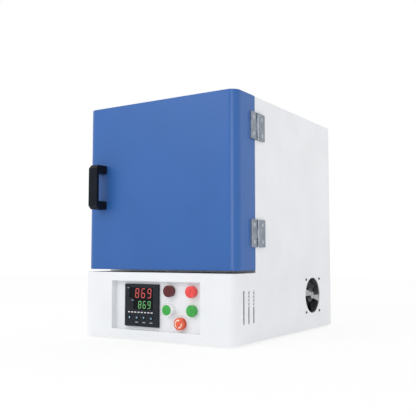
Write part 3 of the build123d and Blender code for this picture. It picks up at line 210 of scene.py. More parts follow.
def powder_coat(name, colour, roughness):
    """Powder coat on folded steel: an even, slightly pebbled skin, so highlights are soft and broad.

    Its pebbles are 1 mm across on the real sheet and are drawn at 5 mm, so that they show.
    """
    material, tree, shader, coordinates = new_material(
        name, colour, roughness=roughness, ior=1.5, specular_ior_level=0.35
    )
    add_mottle(tree, shader, coordinates, tint(colour, 0.975), tint(colour, 1.015), 90.0)
    pebbles = add_node(
        tree, "ShaderNodeTexNoise", {"Vector": coordinates, "Scale": per_metre(5.0), "Detail": 2.0}
    )
    add_bump(tree, shader, pebbles.outputs["Fac"], 0.05, 0.5)
    return material


def powder_coat_white():
    """White coat of the case: clean and cool, so that its folds show only as soft greys."""
    return powder_coat("powder_coat_white", tuple(colours().case), 0.42)


def powder_coat_blue():
    """Blue coat of the door, a little glossier, so that its rounded corner takes a bright band."""
    return powder_coat("powder_coat_blue", tuple(colours().door), 0.34)


def brushed_steel(name, colour, stretch, roughness):
    """Cold-rolled stainless sheet with a fine lengthwise grain, which draws highlights out into streaks."""
    material, tree, shader, coordinates = new_material(name, colour, metallic=1.0, roughness=roughness)
    placed = add_node(tree, "ShaderNodeMapping", {"Vector": coordinates, "Scale": stretch})
    grain = add_node(
        tree, "ShaderNodeTexNoise",
        {"Vector": placed.outputs["Vector"], "Scale": per_metre(1.2), "Detail": 4.0},
    )
    rough = add_node(
        tree, "ShaderNodeMapRange",
        {"Value": grain.outputs["Fac"], "To Min": roughness - 0.08, "To Max": roughness + 0.1},
    )
    tree.links.new(rough.outputs["Result"], shader.inputs["Roughness"])
    add_bump(tree, shader, grain.outputs["Fac"], 0.02, 0.4)
    return material


def stainless_sheet():
    """Stainless sheet of the front frame and the door liner, with its grain across."""
    return brushed_steel("stainless_sheet", hex_colour("C4C7CA"), (0.04, 1.0, 1.0), 0.34)


def galvanised_sheet():
    """Hot-dip galvanised sheet: grey zinc with 8 mm spangles, each tilted and shaded a little otherwise."""
    material, tree, shader, coordinates = new_material(
        "galvanised_sheet", hex_colour("B4B9BD"), metallic=1.0, roughness=0.42
    )
    spangles = add_node(tree, "ShaderNodeTexVoronoi", {"Vector": coordinates, "Scale": per_metre(8.0)})
    shade = add_node(
        tree, "ShaderNodeSeparateColor", {"Color": spangles.outputs["Color"]}
    )
    ramp = add_node(tree, "ShaderNodeValToRGB", {"Fac": shade.outputs["Red"]})
    ramp.color_ramp.elements[0].color = (*hex_colour("9EA4A9"), 1.0)
    ramp.color_ramp.elements[1].color = (*hex_colour("C9CDD0"), 1.0)
    tree.links.new(ramp.outputs["Color"], shader.inputs["Base Color"])
    rough = add_node(
        tree, "ShaderNodeMapRange", {"Value": shade.outputs["Green"], "To Min": 0.32, "To Max": 0.55}
    )
    tree.links.new(rough.outputs["Result"], shader.inputs["Roughness"])
    return material


def blasted_steel():
    """Bead-blasted cast steel of the hinges: an even grey with a fine matt tooth, drawn at 1.5 mm."""
    material, tree, shader, coordinates = new_material(
        "blasted_steel", hex_colour("939AA4"), metallic=1.0, roughness=0.46
    )
    add_mottle(tree, shader, coordinates, hex_colour("8A919B"), hex_colour("9DA4AE"), 14.0)
    tooth = add_node(
        tree, "ShaderNodeTexNoise", {"Vector": coordinates, "Scale": per_metre(1.5), "Detail": 5.0}
    )
    add_bump(tree, shader, tooth.outputs["Fac"], 0.06, 0.6)
    return material


def zinc_plate():
    """Bright zinc plate on small turned pieces: clean grey metal with a faint cool sheen."""
    material, tree, shader, coordinates = new_material(
        "zinc_plate", hex_colour("C3C8CE"), metallic=1.0, roughness=0.28
    )
    add_mottle(tree, shader, coordinates, hex_colour("B7BDC5"), hex_colour("CFD3D6"), 3.0)
    return material


def chromed_brass():
    """Polished chrome on turned brass: near mirror, so it shows the white surround and dark gaps."""
    material, tree, shader, coordinates = new_material(
        "chromed_brass", hex_colour("D9DCDF"), metallic=1.0, roughness=0.12
    )
    wipe = add_node(
        tree, "ShaderNodeTexNoise", {"Vector": coordinates, "Scale": per_metre(6.0), "Detail": 3.0}
    )
    rough = add_node(
        tree, "ShaderNodeMapRange", {"Value": wipe.outputs["Fac"], "To Min": 0.08, "To Max": 0.2}
    )
    tree.links.new(rough.outputs["Result"], shader.inputs["Roughness"])
    return material


def die_cast_aluminium(name, base, dark, light, roughness):
    """Die-cast aluminium: one grey that wanders a little between two, finely pitted and softly bright."""
    material, tree, shader, coordinates = new_material(
        name, hex_colour(base), metallic=1.0, roughness=roughness
    )
    add_mottle(tree, shader, coordinates, hex_colour(dark), hex_colour(light), 10.0)
    pits = add_node(
        tree, "ShaderNodeTexNoise", {"Vector": coordinates, "Scale": per_metre(1.8), "Detail": 5.0}
    )
    add_bump(tree, shader, pits.outputs["Fac"], 0.08, 0.6)
    return material


def cast_aluminium():
    """Pale casting of the heat sink and the thermocouple's head, bright where it has been trimmed."""
    return die_cast_aluminium("cast_aluminium", "C2C4C4", "B2B4B5", "CFD0CF", 0.38)


def fan_aluminium_painted_shade():
    """Duller casting of the fan's frame, with painted shade: its grey is darkened for the shade that the
    frame sits in behind the case's sheet, so that it stays grey beside the white case.
    """
    return die_cast_aluminium("fan_aluminium_painted_shade", "A5A8AA", "999C9F", "B0B3B4", 0.42)


def ceramic_fibre():
    """Vacuum-formed ceramic fibre board: chalk white and matt, with clumped fibres and shallow pits."""
    base = hex_colour("EAE6DC")
    material, tree, shader, coordinates = new_material("ceramic_fibre", base, roughness=0.95)
    add_mottle(tree, shader, coordinates, hex_colour("DDD7CA"), hex_colour("F1EEE6"), 22.0, 6.0)
    clumps = add_node(
        tree, "ShaderNodeTexNoise",
        {"Vector": coordinates, "Scale": per_metre(3.5), "Detail": 8.0, "Roughness": 0.7},
    )
    add_bump(tree, shader, clumps.outputs["Fac"], 0.7, 0.8)
    return material


def braided_fibre():
    """Braided ceramic fibre rope: off-white yarn with dark dips between its strands."""
    material, tree, shader, coordinates = new_material("braided_fibre", hex_colour("DDD8CB"), roughness=0.92)
    add_mottle(tree, shader, coordinates, hex_colour("CFC9BA"), hex_colour("E8E4D8"), 4.0, 4.0)
    yarn = add_node(
        tree, "ShaderNodeTexNoise", {"Vector": coordinates, "Scale": per_metre(0.8), "Detail": 3.0}
    )
    add_bump(tree, shader, yarn.outputs["Fac"], 0.2, 0.7)
    return material


def cordierite():
    """Fired cordierite of the hearth plate: sandy buff with fine darker specks and a dry surface."""
    material, tree, shader, coordinates = new_material("cordierite", hex_colour("CDBD9F"), roughness=0.88)
    add_mottle(tree, shader, coordinates, hex_colour("BFAD8D"), hex_colour("D8CBB0"), 6.0, 8.0)
    grit = add_node(
        tree, "ShaderNodeTexNoise", {"Vector": coordinates, "Scale": per_metre(1.4), "Detail": 6.0}
    )
    add_bump(tree, shader, grit.outputs["Fac"], 0.25, 0.8)
    return material


def glazed_porcelain():
    """Glazed steatite of the bushes and terminals: creamy white under a clear smooth glaze."""
    material, tree, shader, coordinates = new_material(
        "glazed_porcelain", hex_colour("E9E3D4"), roughness=0.3, coat_weight=0.6, coat_roughness=0.08
    )
    add_mottle(tree, shader, coordinates, hex_colour("E1DAC9"), hex_colour("F0EBDE"), 9.0)
    return material


def fired_heating_alloy():
    """Iron-chromium-aluminium wire after its first firing: dark grey-brown oxide, dull and rough."""
    material, tree, shader, coordinates = new_material(
        "fired_heating_alloy", hex_colour("5A534E"), metallic=0.7, roughness=0.62
    )
    add_mottle(tree, shader, coordinates, hex_colour("47413D"), hex_colour("6B625B"), 5.0)
    return material


def moulded_plastic(
    name, colour, roughness, grain_mm=1.2, grain_depth_mm=0.04, coat=0.0, specular=0.5
):
    """Injection-moulded plastic with a spark-eroded texture, drawn no finer than it can show."""
    material, tree, shader, coordinates = new_material(
        name, colour, roughness=roughness, ior=1.49, specular_ior_level=specular,
        coat_weight=coat, coat_roughness=0.1,
    )
    add_mottle(tree, shader, coordinates, tint(colour, 0.93), tint(colour, 1.07), 25.0)
    grain = add_node(
        tree, "ShaderNodeTexNoise", {"Vector": coordinates, "Scale": per_metre(grain_mm), "Detail": 2.0}
    )
    add_bump(tree, shader, grain.outputs["Fac"], grain_depth_mm, 0.6)
    return material


def handle_nylon():
    """Glass-filled nylon of the handle: near black with a blunt, grainy sheen."""
    return moulded_plastic("handle_nylon", tuple(colours().handle), 0.45, 1.5, 0.08, specular=0.12)


def controller_abs():
    """Charcoal ABS of the controller: matt, so that its bezel stays dark beside the white panel."""
    return moulded_plastic("controller_abs", tuple(colours().controller), 0.5, 1.0, 0.05, specular=0.15)


def key_silicone():
    """Silicone of the keys: blue-black and soft, darker than the bezel round them."""
    return moulded_plastic("key_silicone", hex_colour("17222C"), 0.45, 0.8, 0.02, specular=0.15)


def lamp_housing_nylon():
    """Nylon of the lamps' housings: brown-grey and dull behind the bright lenses."""
    return moulded_plastic("lamp_housing_nylon", hex_colour("4A4448"), 0.45)


def gland_nylon():
    """Black nylon of the gland and the mounting nuts, with a worn grey sheen."""
    return moulded_plastic("gland_nylon", hex_colour("232427"), 0.5)


def fan_blade_nylon():
    """Glossier black nylon of the impeller, so that its twisted blades catch the light."""
    return moulded_plastic("fan_blade_nylon", hex_colour("1B1E24"), 0.38, 2.0, 0.05)


def device_phenolic():
    """Pale grey phenolic of the electrical devices, matt and even."""
    return moulded_plastic("device_phenolic", hex_colour("C9CBC6"), 0.48, 1.5, 0.05)


def foot_rubber():
    """Black rubber of the feet: dead matt with a coarse tooth."""
    return moulded_plastic("foot_rubber", hex_colour("1A1A1B"), 0.85, 1.0, 0.1)


def smoked_acrylic():
    """Smoked acrylic of the display window: nearly black, flat and glossy."""
    material, tree, shader, coordinates = new_material(
        "smoked_acrylic", hex_colour("0C0E12"), roughness=0.14, ior=1.49, specular_ior_level=0.12
    )
    add_mottle(tree, shader, coordinates, hex_colour("0A0C10"), hex_colour("0E1116"), 30.0)
    return material


def lens_polycarbonate(name, colour, glow):
    """Tinted polycarbonate of a lamp's lens: clear skin over a deep colour, with light scattered inside."""
    material, tree, shader, coordinates = new_material(
        name, colour, roughness=0.3, ior=1.58, specular_ior_level=0.3,
        coat_weight=0.15, coat_roughness=0.05,
        subsurface_weight=0.25, subsurface_scale=0.004,
    )
    add_mottle(tree, shader, coordinates, tint(colour, 0.85), tint(colour, 1.15), 8.0)
    shader.inputs["Emission Color"].default_value = (*colour, 1.0)
    shader.inputs["Emission Strength"].default_value = glow
    return material


def alarm_lens():
    """Dark red lens of the unlit lamp, which gives no light of its own."""
    return lens_polycarbonate("alarm_lens", tuple(colours().alarm_lamp), 0.0)


def power_lens():
    """Bright red lens, lit from behind."""
    return lens_polycarbonate("power_lens", tuple(colours().power_lamp), 0.08)


def run_lens():
    """Green lens, faintly lit."""
    return lens_polycarbonate("run_lens", tuple(colours().run_lamp), 0.05)


def start_cap_acetal():
    """Green acetal of the start cap: smooth, with a thin clear gloss."""
    return moulded_plastic("start_cap_acetal", tuple(colours().start_cap), 0.3, 1.0, 0.02, coat=0.3)


def stop_head_abs():
    """Orange-red ABS of the emergency stop: smooth and saturated, with a thin gloss."""
    return moulded_plastic("stop_head_abs", tuple(colours().stop_head), 0.32, 1.0, 0.02, coat=0.3)


def lit_segment(name, colour):
    """Lit display segment: a flat, even glow of one colour."""
    material, tree, shader, coordinates = new_material(name, tint(colour, 0.5), roughness=0.4)
    glow = add_node(
        tree, "ShaderNodeTexNoise", {"Vector": coordinates, "Scale": per_metre(4.0), "Detail": 1.0}
    )
    ramp = add_node(tree, "ShaderNodeValToRGB", {"Fac": glow.outputs["Fac"]})
    ramp.color_ramp.elements[0].color = (*tint(colour, 0.9), 1.0)
    ramp.color_ramp.elements[1].color = (*tint(colour, 1.1), 1.0)
    tree.links.new(ramp.outputs["Color"], shader.inputs["Emission Color"])
    shader.inputs["Emission Strength"].default_value = 0.75
    return material


def hot_segments():
    """Red glow of the measured value."""
    return lit_segment("hot_segments", tuple(colours().hot_digits))


def set_segments():
    """Green glow of the set value."""
    return lit_segment("set_segments", tuple(colours().set_digits))


def marking_ink(name, code):
    """Screen-printed ink: a thin even film with a slightly toothed edge and no gloss."""
    material, tree, shader, coordinates = new_material(name, hex_colour(code), roughness=0.6)
    add_mottle(tree, shader, coordinates, tint(hex_colour(code), 0.92), hex_colour(code), 3.0)
    return material


def black_oxide():
    """Black oxide on steel screws: nearly black metal with a dull brown-grey sheen on its edges."""
    material, tree, shader, coordinates = new_material(
        "black_oxide", hex_colour("3A3C40"), metallic=1.0, roughness=0.4
    )
    add_mottle(tree, shader, coordinates, hex_colour("303236"), hex_colour("46494D"), 2.0)
    return material


def white_ink():
    """White ink of the indicator marks."""
    return marking_ink("white_ink", "F0F1F2")


def blue_ink():
    """Pale blue ink of the signs on the keys."""
    return marking_ink("blue_ink", "8FB4C6")


def stop_arrow_ink():
    """Cream ink of the emergency stop's arrows."""
    return marking_ink("stop_arrow_ink", "F6E6D6")


def pale_ink():
    """Grey ink of the plain bars that stand for labels."""
    return marking_ink("pale_ink", "98A2AB")


def colours():
    """The scene's colour settings."""
    return bpy.context.scene.furnace_colours


def sizes():
    """The scene's size settings."""
    return bpy.context.scene.furnace_sizes


def studio():
    """The scene's light and camera settings."""
    return bpy.context.scene.furnace_studio


def finish_of(maker):
    """The material that a maker function makes, made once and then shared."""
    return bpy.data.materials.get(maker.__name__) or maker()


def give_finish(node_names, maker):
    """Gives CAD nodes a finish through their own material slots."""
    for name in node_names:
        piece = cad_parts[name]
        if not piece.material_slots:
            piece.data.materials.append(None)
        for material_slot in piece.material_slots:
            material_slot.link = "OBJECT"
            material_slot.material = finish_of(maker)


def surface(
    name, points, body, maker, stands_for=(), closed=(False, True), sharp=35.0, wall_mm=0.0
):
    """Mesh from a grid of points, shape (rows, columns, 3), joined to itself along the closed directions.

    Faces join each point to the next in its row and column. Points that fall together, as at a pole,
    become one, and the faces then turn outwards.
    """
    rows, columns = points.shape[:2]
    row_steps = rows if closed[0] else rows - 1
    column_steps = columns if closed[1] else columns - 1
    row, column = np.meshgrid(np.arange(row_steps), np.arange(column_steps), indexing="ij")
    next_row = (row + 1) % rows
    next_column = (column + 1) % columns
    corners = np.stack(
        (
            row * columns + column,
            row * columns + next_column,
            next_row * columns + next_column,
            next_row * columns + column,
        ),
        axis=-1,
    ).reshape(-1, 4)
    mesh = bpy.data.meshes.new(name)
    mesh.from_pydata(points.reshape(-1, 3), [], corners)
    return finish_piece(name, mesh, body, maker, stands_for, sharp, wall_mm)


def films(name, outlines, face_y, body, maker):
    """Thin flat plates laid on a face that looks to the front, as printed or lit signs are.

    The outlines have the shape (plates, corners, 2), in x and z. Each plate runs from the face, at face_y,
    to FILM in front of it.
    """
    plates, corners = outlines.shape[:2]
    front = np.insert(outlines, 1, face_y - FILM, axis=2)
    back = np.insert(outlines, 1, face_y, axis=2)
    points = np.concatenate((front, back), axis=1).reshape(-1, 3)
    first = np.arange(plates)[:, None] * 2 * corners
    ring = np.arange(corners)
    following = (ring + 1) % corners
    caps = np.concatenate((first + ring, first + corners + ring[::-1]), axis=0)
    sides = np.stack(
        (first + ring, first + following, first + corners + following, first + corners + ring), axis=-1
    ).reshape(-1, 4)
    mesh = bpy.data.meshes.new(name)
    mesh.from_pydata(points, [], caps.tolist() + sides.tolist())
    return finish_piece(name, mesh, body, maker, (), 30.0, 0.0)


def finish_piece(name, mesh, body, maker, stands_for, sharp, wall_mm):
    """Merges a mesh's doubles, turns its faces outwards, and sets it on its body with its finish."""
    work = bmesh.new()
    work.from_mesh(mesh)
    bmesh.ops.remove_doubles(work, verts=work.verts, dist=1e-6)
    bmesh.ops.recalc_face_normals(work, faces=work.faces)
    work.to_mesh(mesh)
    work.free()
    mesh.update()
    mesh.shade_smooth()
    mesh.set_sharp_from_angle(angle=math.radians(sharp))
    mesh.materials.append(finish_of(maker))
    piece = bpy.data.objects.new(name, mesh)
    bpy.context.scene.collection.objects.link(piece)
    if wall_mm:
        wall = piece.modifiers.new("wall", "SOLIDIFY")
        wall.thickness = wall_mm * MM
        wall.offset = 1.0
    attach(piece, body)
    if stands_for:
        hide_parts(*stands_for)
    return piece


def arc(centre_u, centre_v, radius, start, end, count):
    """Points on a circle from one angle to another, in degrees: centre + radius * (cos, sin)."""
    turn = np.radians(np.linspace(start, end, count))
    return np.stack((centre_u + radius * np.cos(turn), centre_v + radius * np.sin(turn)), axis=-1)


def turned(profile, centre, outward, segments, ribs=0, rib_depth=0.0, ribbed_from=0):
    """Profile (radius, height) turned about the line through the centre along the outward direction.

    A point is centre + height * outward + radius * (cos t * across + sin t * upright). The profile's
    points from ribbed_from on have their radius drawn in by rib_depth * (1 - cos(ribs * t)) / 2.
    """
    outward = np.array(outward, float)
    upright = np.array((0.0, 0.0, 1.0))
    across = np.cross(upright, outward)
    turn = np.linspace(0.0, 2 * np.pi, segments, endpoint=False)
    radius = np.repeat(profile[:, :1], segments, axis=1)
    if ribs:
        cut = rib_depth * (1 - np.cos(ribs * turn)) / 2
        radius[ribbed_from:] -= np.minimum(cut, radius[ribbed_from:])
    round_part = np.cos(turn)[:, None] * across + np.sin(turn)[:, None] * upright
    return np.array(centre, float) + profile[:, 1, None, None] * outward + radius[..., None] * round_part


def middle(node):
    """Middle of a CAD node's box, its lowest and its highest corner."""
    low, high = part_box(node)
    return (low + high) / 2, low, high


class FURNACE_OT_case(bpy.types.Operator):
    """Finish the case, its frame, rear cover, feet and screws"""

    bl_idname = "furnace.case"
    bl_label = "Case"

    def execute(self, context):
        give_finish(("outer_casing", "rear_cover", "control_panel"), powder_coat_white)
        give_finish(("front_frame",), stainless_sheet)
        give_finish(("base_pan", "shelf", "inner_liner"), galvanised_sheet)
        give_finish(("casing_screws",), black_oxide)
        give_finish(("catch_magnets",), zinc_plate)
        give_finish(("cable_gland", "mounting_nuts"), gland_nylon)
        give_finish(("feet",), foot_rubber)
        return {"FINISHED"}


class FURNACE_OT_door(bpy.types.Operator):
    """Finish the door, its handle, hinges and liner"""

    bl_idname = "furnace.door"
    bl_label = "Door"

    def execute(self, context):
        give_finish(("door_shell",), powder_coat_blue)
        give_finish(("door_liner",), stainless_sheet)
        give_finish(("door_insulation", "door_plug"), ceramic_fibre)
        give_finish(("handle",), handle_nylon)
        give_finish(("case_hinge_leaves", "door_hinge_leaves"), blasted_steel)
        give_finish(
            ("hinge_pins", "case_hinge_screws", "door_hinge_screws", "handle_screws", "strike_plates"),
            zinc_plate,
        )
        return {"FINISHED"}


class FURNACE_OT_door_seal(bpy.types.Operator):
    """Braid the door's rope seal along its rounded square path"""

    bl_idname = "furnace.door_seal"
    bl_label = "Door seal"

    def execute(self, context):
        centre, low, high = middle("door_seal")
        half_thickness = 5.0 * MM
        half_depth = (high.y - low.y) / 2
        path_radius = 9.0 * MM
        half_x = (high.x - low.x) / 2 - half_thickness
        half_z = (high.z - low.z) / 2 - half_thickness
        path, outward, along = rounded_loop(half_x, half_z, path_radius, 1.1 * MM)
        around = np.linspace(0.0, 2 * np.pi, 22, endpoint=False)
        crossings = round(along[-1] / sizes().rope_pitch)
        turn = along[:, None] / along[-1] * 2 * np.pi * crossings
        ridge = np.abs(np.sin(turn / 2 + around)) * np.abs(np.sin(turn / 2 - around))
        swell = 0.88 + 0.12 * np.sqrt(ridge)
        out_part = np.sign(np.cos(around)) * np.abs(np.cos(around)) ** 0.8 * half_thickness * swell
        deep_part = np.sign(np.sin(around)) * np.abs(np.sin(around)) ** 0.8 * half_depth * swell
        points = np.empty((len(path), len(around), 3))
        points[..., 0] = centre.x + path[:, None, 0] + outward[:, None, 0] * out_part
        points[..., 1] = centre.y + deep_part
        points[..., 2] = centre.z + path[:, None, 1] + outward[:, None, 1] * out_part
        surface(
            "rope_seal", points, "door", braided_fibre, ("door_seal",),
            closed=(True, True), sharp=80.0,
        )
        return {"FINISHED"}


def rounded_loop(half_x, half_z, radius, step):
    """Closed path round a rectangle with rounded corners, stepped evenly along its length.

    The straight sides and quarter circles are laid end to end, and each even distance is read off them.
    Returns the points, the outward directions and the distance run at each point, with the whole length last.
    """
    corners = ((1, 1), (-1, 1), (-1, -1), (1, -1))
    pieces = [
        arc(cx * (half_x - radius), cz * (half_z - radius), radius, 90.0 * n, 90.0 * (n + 1), 25)
        for n, (cx, cz) in enumerate(corners)
    ]
    line = np.concatenate(pieces + [pieces[0][:1]])
    run = np.concatenate(([0.0], np.cumsum(np.hypot(*np.diff(line, axis=0).T))))
    count = int(run[-1] / step)
    along = np.linspace(0.0, run[-1], count, endpoint=False)
    points = np.stack((np.interp(along, run, line[:, 0]), np.interp(along, run, line[:, 1])), axis=-1)
    ahead = np.roll(points, -1, axis=0) - np.roll(points, 1, axis=0)
    outward = np.stack((ahead[:, 1], -ahead[:, 0]), axis=-1)
    outward /= np.linalg.norm(outward, axis=1)[:, None]
    along[-1] = run[-1]
    return points, outward, along


class FURNACE_OT_hot_parts(bpy.types.Operator):
    """Finish the muffle, its fibre walls, hearth, bushes and thermocouple"""

    bl_idname = "furnace.hot_parts"
    bl_label = "Hot parts"

    def execute(self, context):
        give_finish(("muffle", "mouth_collar", "insulation_jacket"), ceramic_fibre)
        give_finish(("hearth_plate",), cordierite)
        give_finish(("lead_bushings", "element_terminals", "thermocouple_sheath"), glazed_porcelain)
        give_finish(("thermocouple_head",), cast_aluminium)
        give_finish(("heating_element_left", "heating_element_right"), fired_heating_alloy)
        return {"FINISHED"}


class FURNACE_OT_services(bpy.types.Operator):
    """Finish the electrical devices on the base pan"""

    bl_idname = "furnace.services"
    bl_label = "Electrical devices"

    def execute(self, context):
        give_finish(("contactor", "terminal_block", "solid_state_relay"), device_phenolic)
        give_finish(("heat_sink",), cast_aluminium)
        return {"FINISHED"}


class FURNACE_OT_fan(bpy.types.Operator):
    """Finish the fan's frame and impeller"""

    bl_idname = "furnace.fan"
    bl_label = "Fan"

    def execute(self, context):
        # The frame's darker grey is painted shade, for the shade it sits in behind the case's sheet.
        give_finish(("fan_frame",), fan_aluminium_painted_shade)
        give_finish(("fan_impeller",), fan_blade_nylon)
        return {"FINISHED"}


def lens_profile(radius, reach, dome, rim):
    """Half section of a lens from the pole to its back: shallow dome, rounded rim, straight wall.

    The dome falls by dome * (r / edge) ^ 2, the rim is a quarter circle, and radius and height are in metres.
    """
    edge = radius - rim
    inward = np.linspace(0.0, edge, 14)
    front = np.stack((inward, reach - dome * (inward / edge) ** 2), axis=-1)
    corner = arc(edge, reach - dome - rim, rim, 90.0, 0.0, 8)
    wall = np.stack((np.full(6, radius), np.linspace(reach - dome - rim, 0.0, 6)), axis=-1)
    back = np.array(((0.0, 0.0),))
    return np.concatenate((front, corner[1:], wall[1:], back))


class FURNACE_OT_lamps(bpy.types.Operator):
    """Turn the three lamps' lenses, each with a domed front and a ribbed wall"""

    bl_idname = "furnace.lamps"
    bl_label = "Lamps"

    def execute(self, context):
        give_finish(("alarm_lamp_body", "power_lamp_body", "run_lamp_body"), lamp_housing_nylon)
        lamps = (
            ("alarm", alarm_lens, "dark_red_lens"),
            ("power", power_lens, "red_lens"),
            ("run", run_lens, "green_lens"),
        )
        panel_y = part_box("controller_bezel")[1].y
        skirt = 0.35 * MM
        dome = 0.7 * MM
        rim = 2.0 * MM
        rib_count = 40
        rib_depth = 0.2 * MM
        wall_from = 22  # first point of the profile that is on the straight wall
        for name, maker, slot in lamps:
            centre, low, high = middle(f"{name}_lamp_lens")
            radius = (high.x - low.x) / 2 + skirt
            profile = lens_profile(radius, panel_y - low.y, dome, rim)
            points = turned(
                profile, (centre.x, panel_y, centre.z), (0, -1, 0), 240, rib_count, rib_depth, wall_from
            )
            surface(f"{name}_lens", points, "case", maker, (f"{name}_lamp_lens",), sharp=50.0)
        return {"FINISHED"}


class FURNACE_OT_start_button(bpy.types.Operator):
    """Finish the start button's dished cap and its bright collar"""

    bl_idname = "furnace.start_button"
    bl_label = "Start button"

    def execute(self, context):
        give_finish(("start_button_collar",), chromed_brass)
        give_finish(("start_button_cap",), start_cap_acetal)
        return {"FINISHED"}


def stop_dome_height(radius, head_radius, reach):
    """Height of the stop head's dome at a distance from its middle: reach - dome * (r / edge) ^ 2."""
    return reach - STOP_DOME * (radius / (head_radius - STOP_RIM)) ** 2


class FURNACE_OT_emergency_stop(bpy.types.Operator):
    """Turn the emergency stop's domed head and lay the two turning arrows on it"""

    bl_idname = "furnace.emergency_stop"
    bl_label = "Emergency stop"

    def execute(self, context):
        give_finish(("emergency_stop_collar",), stop_head_abs)
        give_finish(("emergency_stop_stem",), lamp_housing_nylon)
        centre, low, high = middle("emergency_stop_head")
        head_radius = (high.x - low.x) / 2
        reach = high.y - low.y
        profile = lens_profile(head_radius, reach, STOP_DOME, STOP_RIM)
        points = turned(profile, (centre.x, high.y, centre.z), (0, -1, 0), 180)
        surface(
            "stop_dome", points, "stop_head", stop_head_abs,
            ("emergency_stop_head",), sharp=50.0,
        )
        head_from = 0.78
        body_half = 1.2 * MM
        head_half = 2.4 * MM
        ring_radius = 8.2 * MM
        along = np.linspace(0.0, 1.0, 48)
        across = np.linspace(-1.0, 1.0, 7)
        for number, (first, last) in enumerate(((235.0, 60.0), (12.0, -97.0)), start=1):
            half = np.where(along < head_from, body_half, head_half * (1.0 - along) / (1.0 - head_from))
            turn = np.radians(first + (last - first) * along)
            radius = ring_radius + half[:, None] * across
            points = np.empty((len(along), len(across), 3))
            points[..., 0] = centre.x + radius * np.cos(turn)[:, None]
            points[..., 1] = high.y - stop_dome_height(radius, head_radius, reach) - ARROW_LIFT
            points[..., 2] = centre.z + radius * np.sin(turn)[:, None]
            surface(
                f"stop_arrow_{number}", points, "stop_head", stop_arrow_ink,
                closed=(False, False), wall_mm=0.08,
            )
        return {"FINISHED"}


# Lit segments of the digits that the display shows, in the order top, upper right, lower right, bottom,
# lower left, upper left, middle
SEGMENTS_OF = {"8": (0, 1, 2, 3, 4, 5, 6), "6": (0, 2, 3, 4, 5, 6), "9": (0, 1, 2, 3, 5, 6)}


def digit_outlines(text, first_x, base_z, height, pitch, slant=0.09):
    """Outlines of seven-segment digits: each segment is a hexagon of half width w about its middle line.

    A digit is 0.44 of its height wide. Its upper part leans right by slant times the height over the base.
    """
    width = 0.44 * height
    half_width = 0.045 * height
    gap = 0.015 * height
    middle_z = height / 2
    ends = np.array(
        (
            ((0, height), (width, height)),
            ((width, height), (width, middle_z)),
            ((width, middle_z), (width, 0)),
            ((width, 0), (0, 0)),
            ((0, 0), (0, middle_z)),
            ((0, middle_z), (0, height)),
            ((0, middle_z), (width, middle_z)),
        )
    )
    start, end = ends[:, 0], ends[:, 1]
    along = (end - start) / np.linalg.norm(end - start, axis=1)[:, None]
    across = np.stack((-along[:, 1], along[:, 0]), axis=-1) * half_width
    tip = along * gap
    shoulder = along * (gap + half_width)
    hexagons = np.stack(
        (start + tip, start + shoulder - across, end - shoulder - across, end - tip,
         end - shoulder + across, start + shoulder + across),
        axis=1,
    )
    digits = [hexagons[list(SEGMENTS_OF[digit])] + (place * pitch, 0.0) for place, digit in enumerate(text)]
    outlines = np.concatenate(digits)
    outlines[..., 0] += first_x + slant * outlines[..., 1]
    outlines[..., 1] += base_z
    return outlines


# Outline of the sign on each key, in millimetres from the key's middle: an upright oval, a triangle that
# points left, one that points down and one that points up
OVAL_TURN = np.linspace(0, 1.9 * np.pi, 20)
KEY_SIGNS = {
    1: np.stack((1.3 * np.cos(OVAL_TURN), 2.2 * np.sin(OVAL_TURN)), axis=-1),
    2: np.array(((1.6, -2.0), (1.6, 2.0), (-2.0, 0.0))),
    3: np.array(((-2.0, 1.6), (0.0, -1.8), (2.0, 1.6))),
    4: np.array(((-2.0, -1.6), (2.0, -1.6), (0.0, 1.8))),
}


def bars(left_x, low_z, width, height, pitch, count):
    """Outlines of a row of small upright rectangles."""
    corners = np.array(((0, 0), (width, 0), (width, height), (0, height)))
    shift = np.stack((left_x + pitch * np.arange(count), np.full(count, low_z)), axis=-1)
    return corners + shift[:, None, :]


class FURNACE_OT_controller(bpy.types.Operator):
    """Finish the temperature controller and lay its digits, marks and key signs"""

    bl_idname = "furnace.controller"
    bl_label = "Temperature controller"

    def execute(self, context):
        give_finish(("controller_bezel", "controller_housing"), controller_abs)
        give_finish(("display_window",), smoked_acrylic)
        give_finish([f"controller_key_{number}" for number in range(1, 5)], key_silicone)
        low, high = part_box("controller_bezel")
        front_y = low.y
        sign_scale = 1.35
        left_x, top_z = low.x, high.z
        values = sizes()
        shown = (
            ("measured_value_digits", hot_segments, 31.5, 30.5, values.upper_digit_height,
             values.upper_digit_pitch),
            ("set_value_digits", set_segments, 40.0, 54.5, values.lower_digit_height,
             values.lower_digit_pitch),
        )
        for name, maker, from_left, from_top, height, pitch in shown:
            digits = digit_outlines("869", left_x + from_left * MM, top_z - from_top * MM, height, pitch)
            films(name, digits, front_y, "case", maker)
        marks = bars(left_x + 10.4 * MM, top_z - 65.0 * MM, 5.5 * MM, 2.0 * MM, 9.3 * MM, 8)
        films("indicator_marks", marks, front_y, "case", white_ink)
        value_marks = [
            bars(left_x + from_left * MM, top_z - from_top * MM, 6.0 * MM, 1.6 * MM, 0.0, 1)
            for from_left, from_top in ((7.5, 10.0), (20.0, 38.0))
        ]
        films("value_marks", np.concatenate(value_marks), front_y, "case", pale_ink)
        labels = []
        for number in range(1, 5):
            key, key_low, _ = middle(f"controller_key_{number}")
            sign = sign_scale * KEY_SIGNS[number] * MM + (key.x, key.z)
            films(f"key_sign_{number}", sign[None], key_low.y, f"key_{number}", blue_ink)
            if number > 1:
                labels.append(bars(key.x - 4.0 * MM, key.z - 11.6 * MM, 8.0 * MM, 2.2 * MM, 0.0, 1))
        films("key_labels", np.concatenate(labels), front_y, "case", pale_ink)
        return {"FINISHED"}


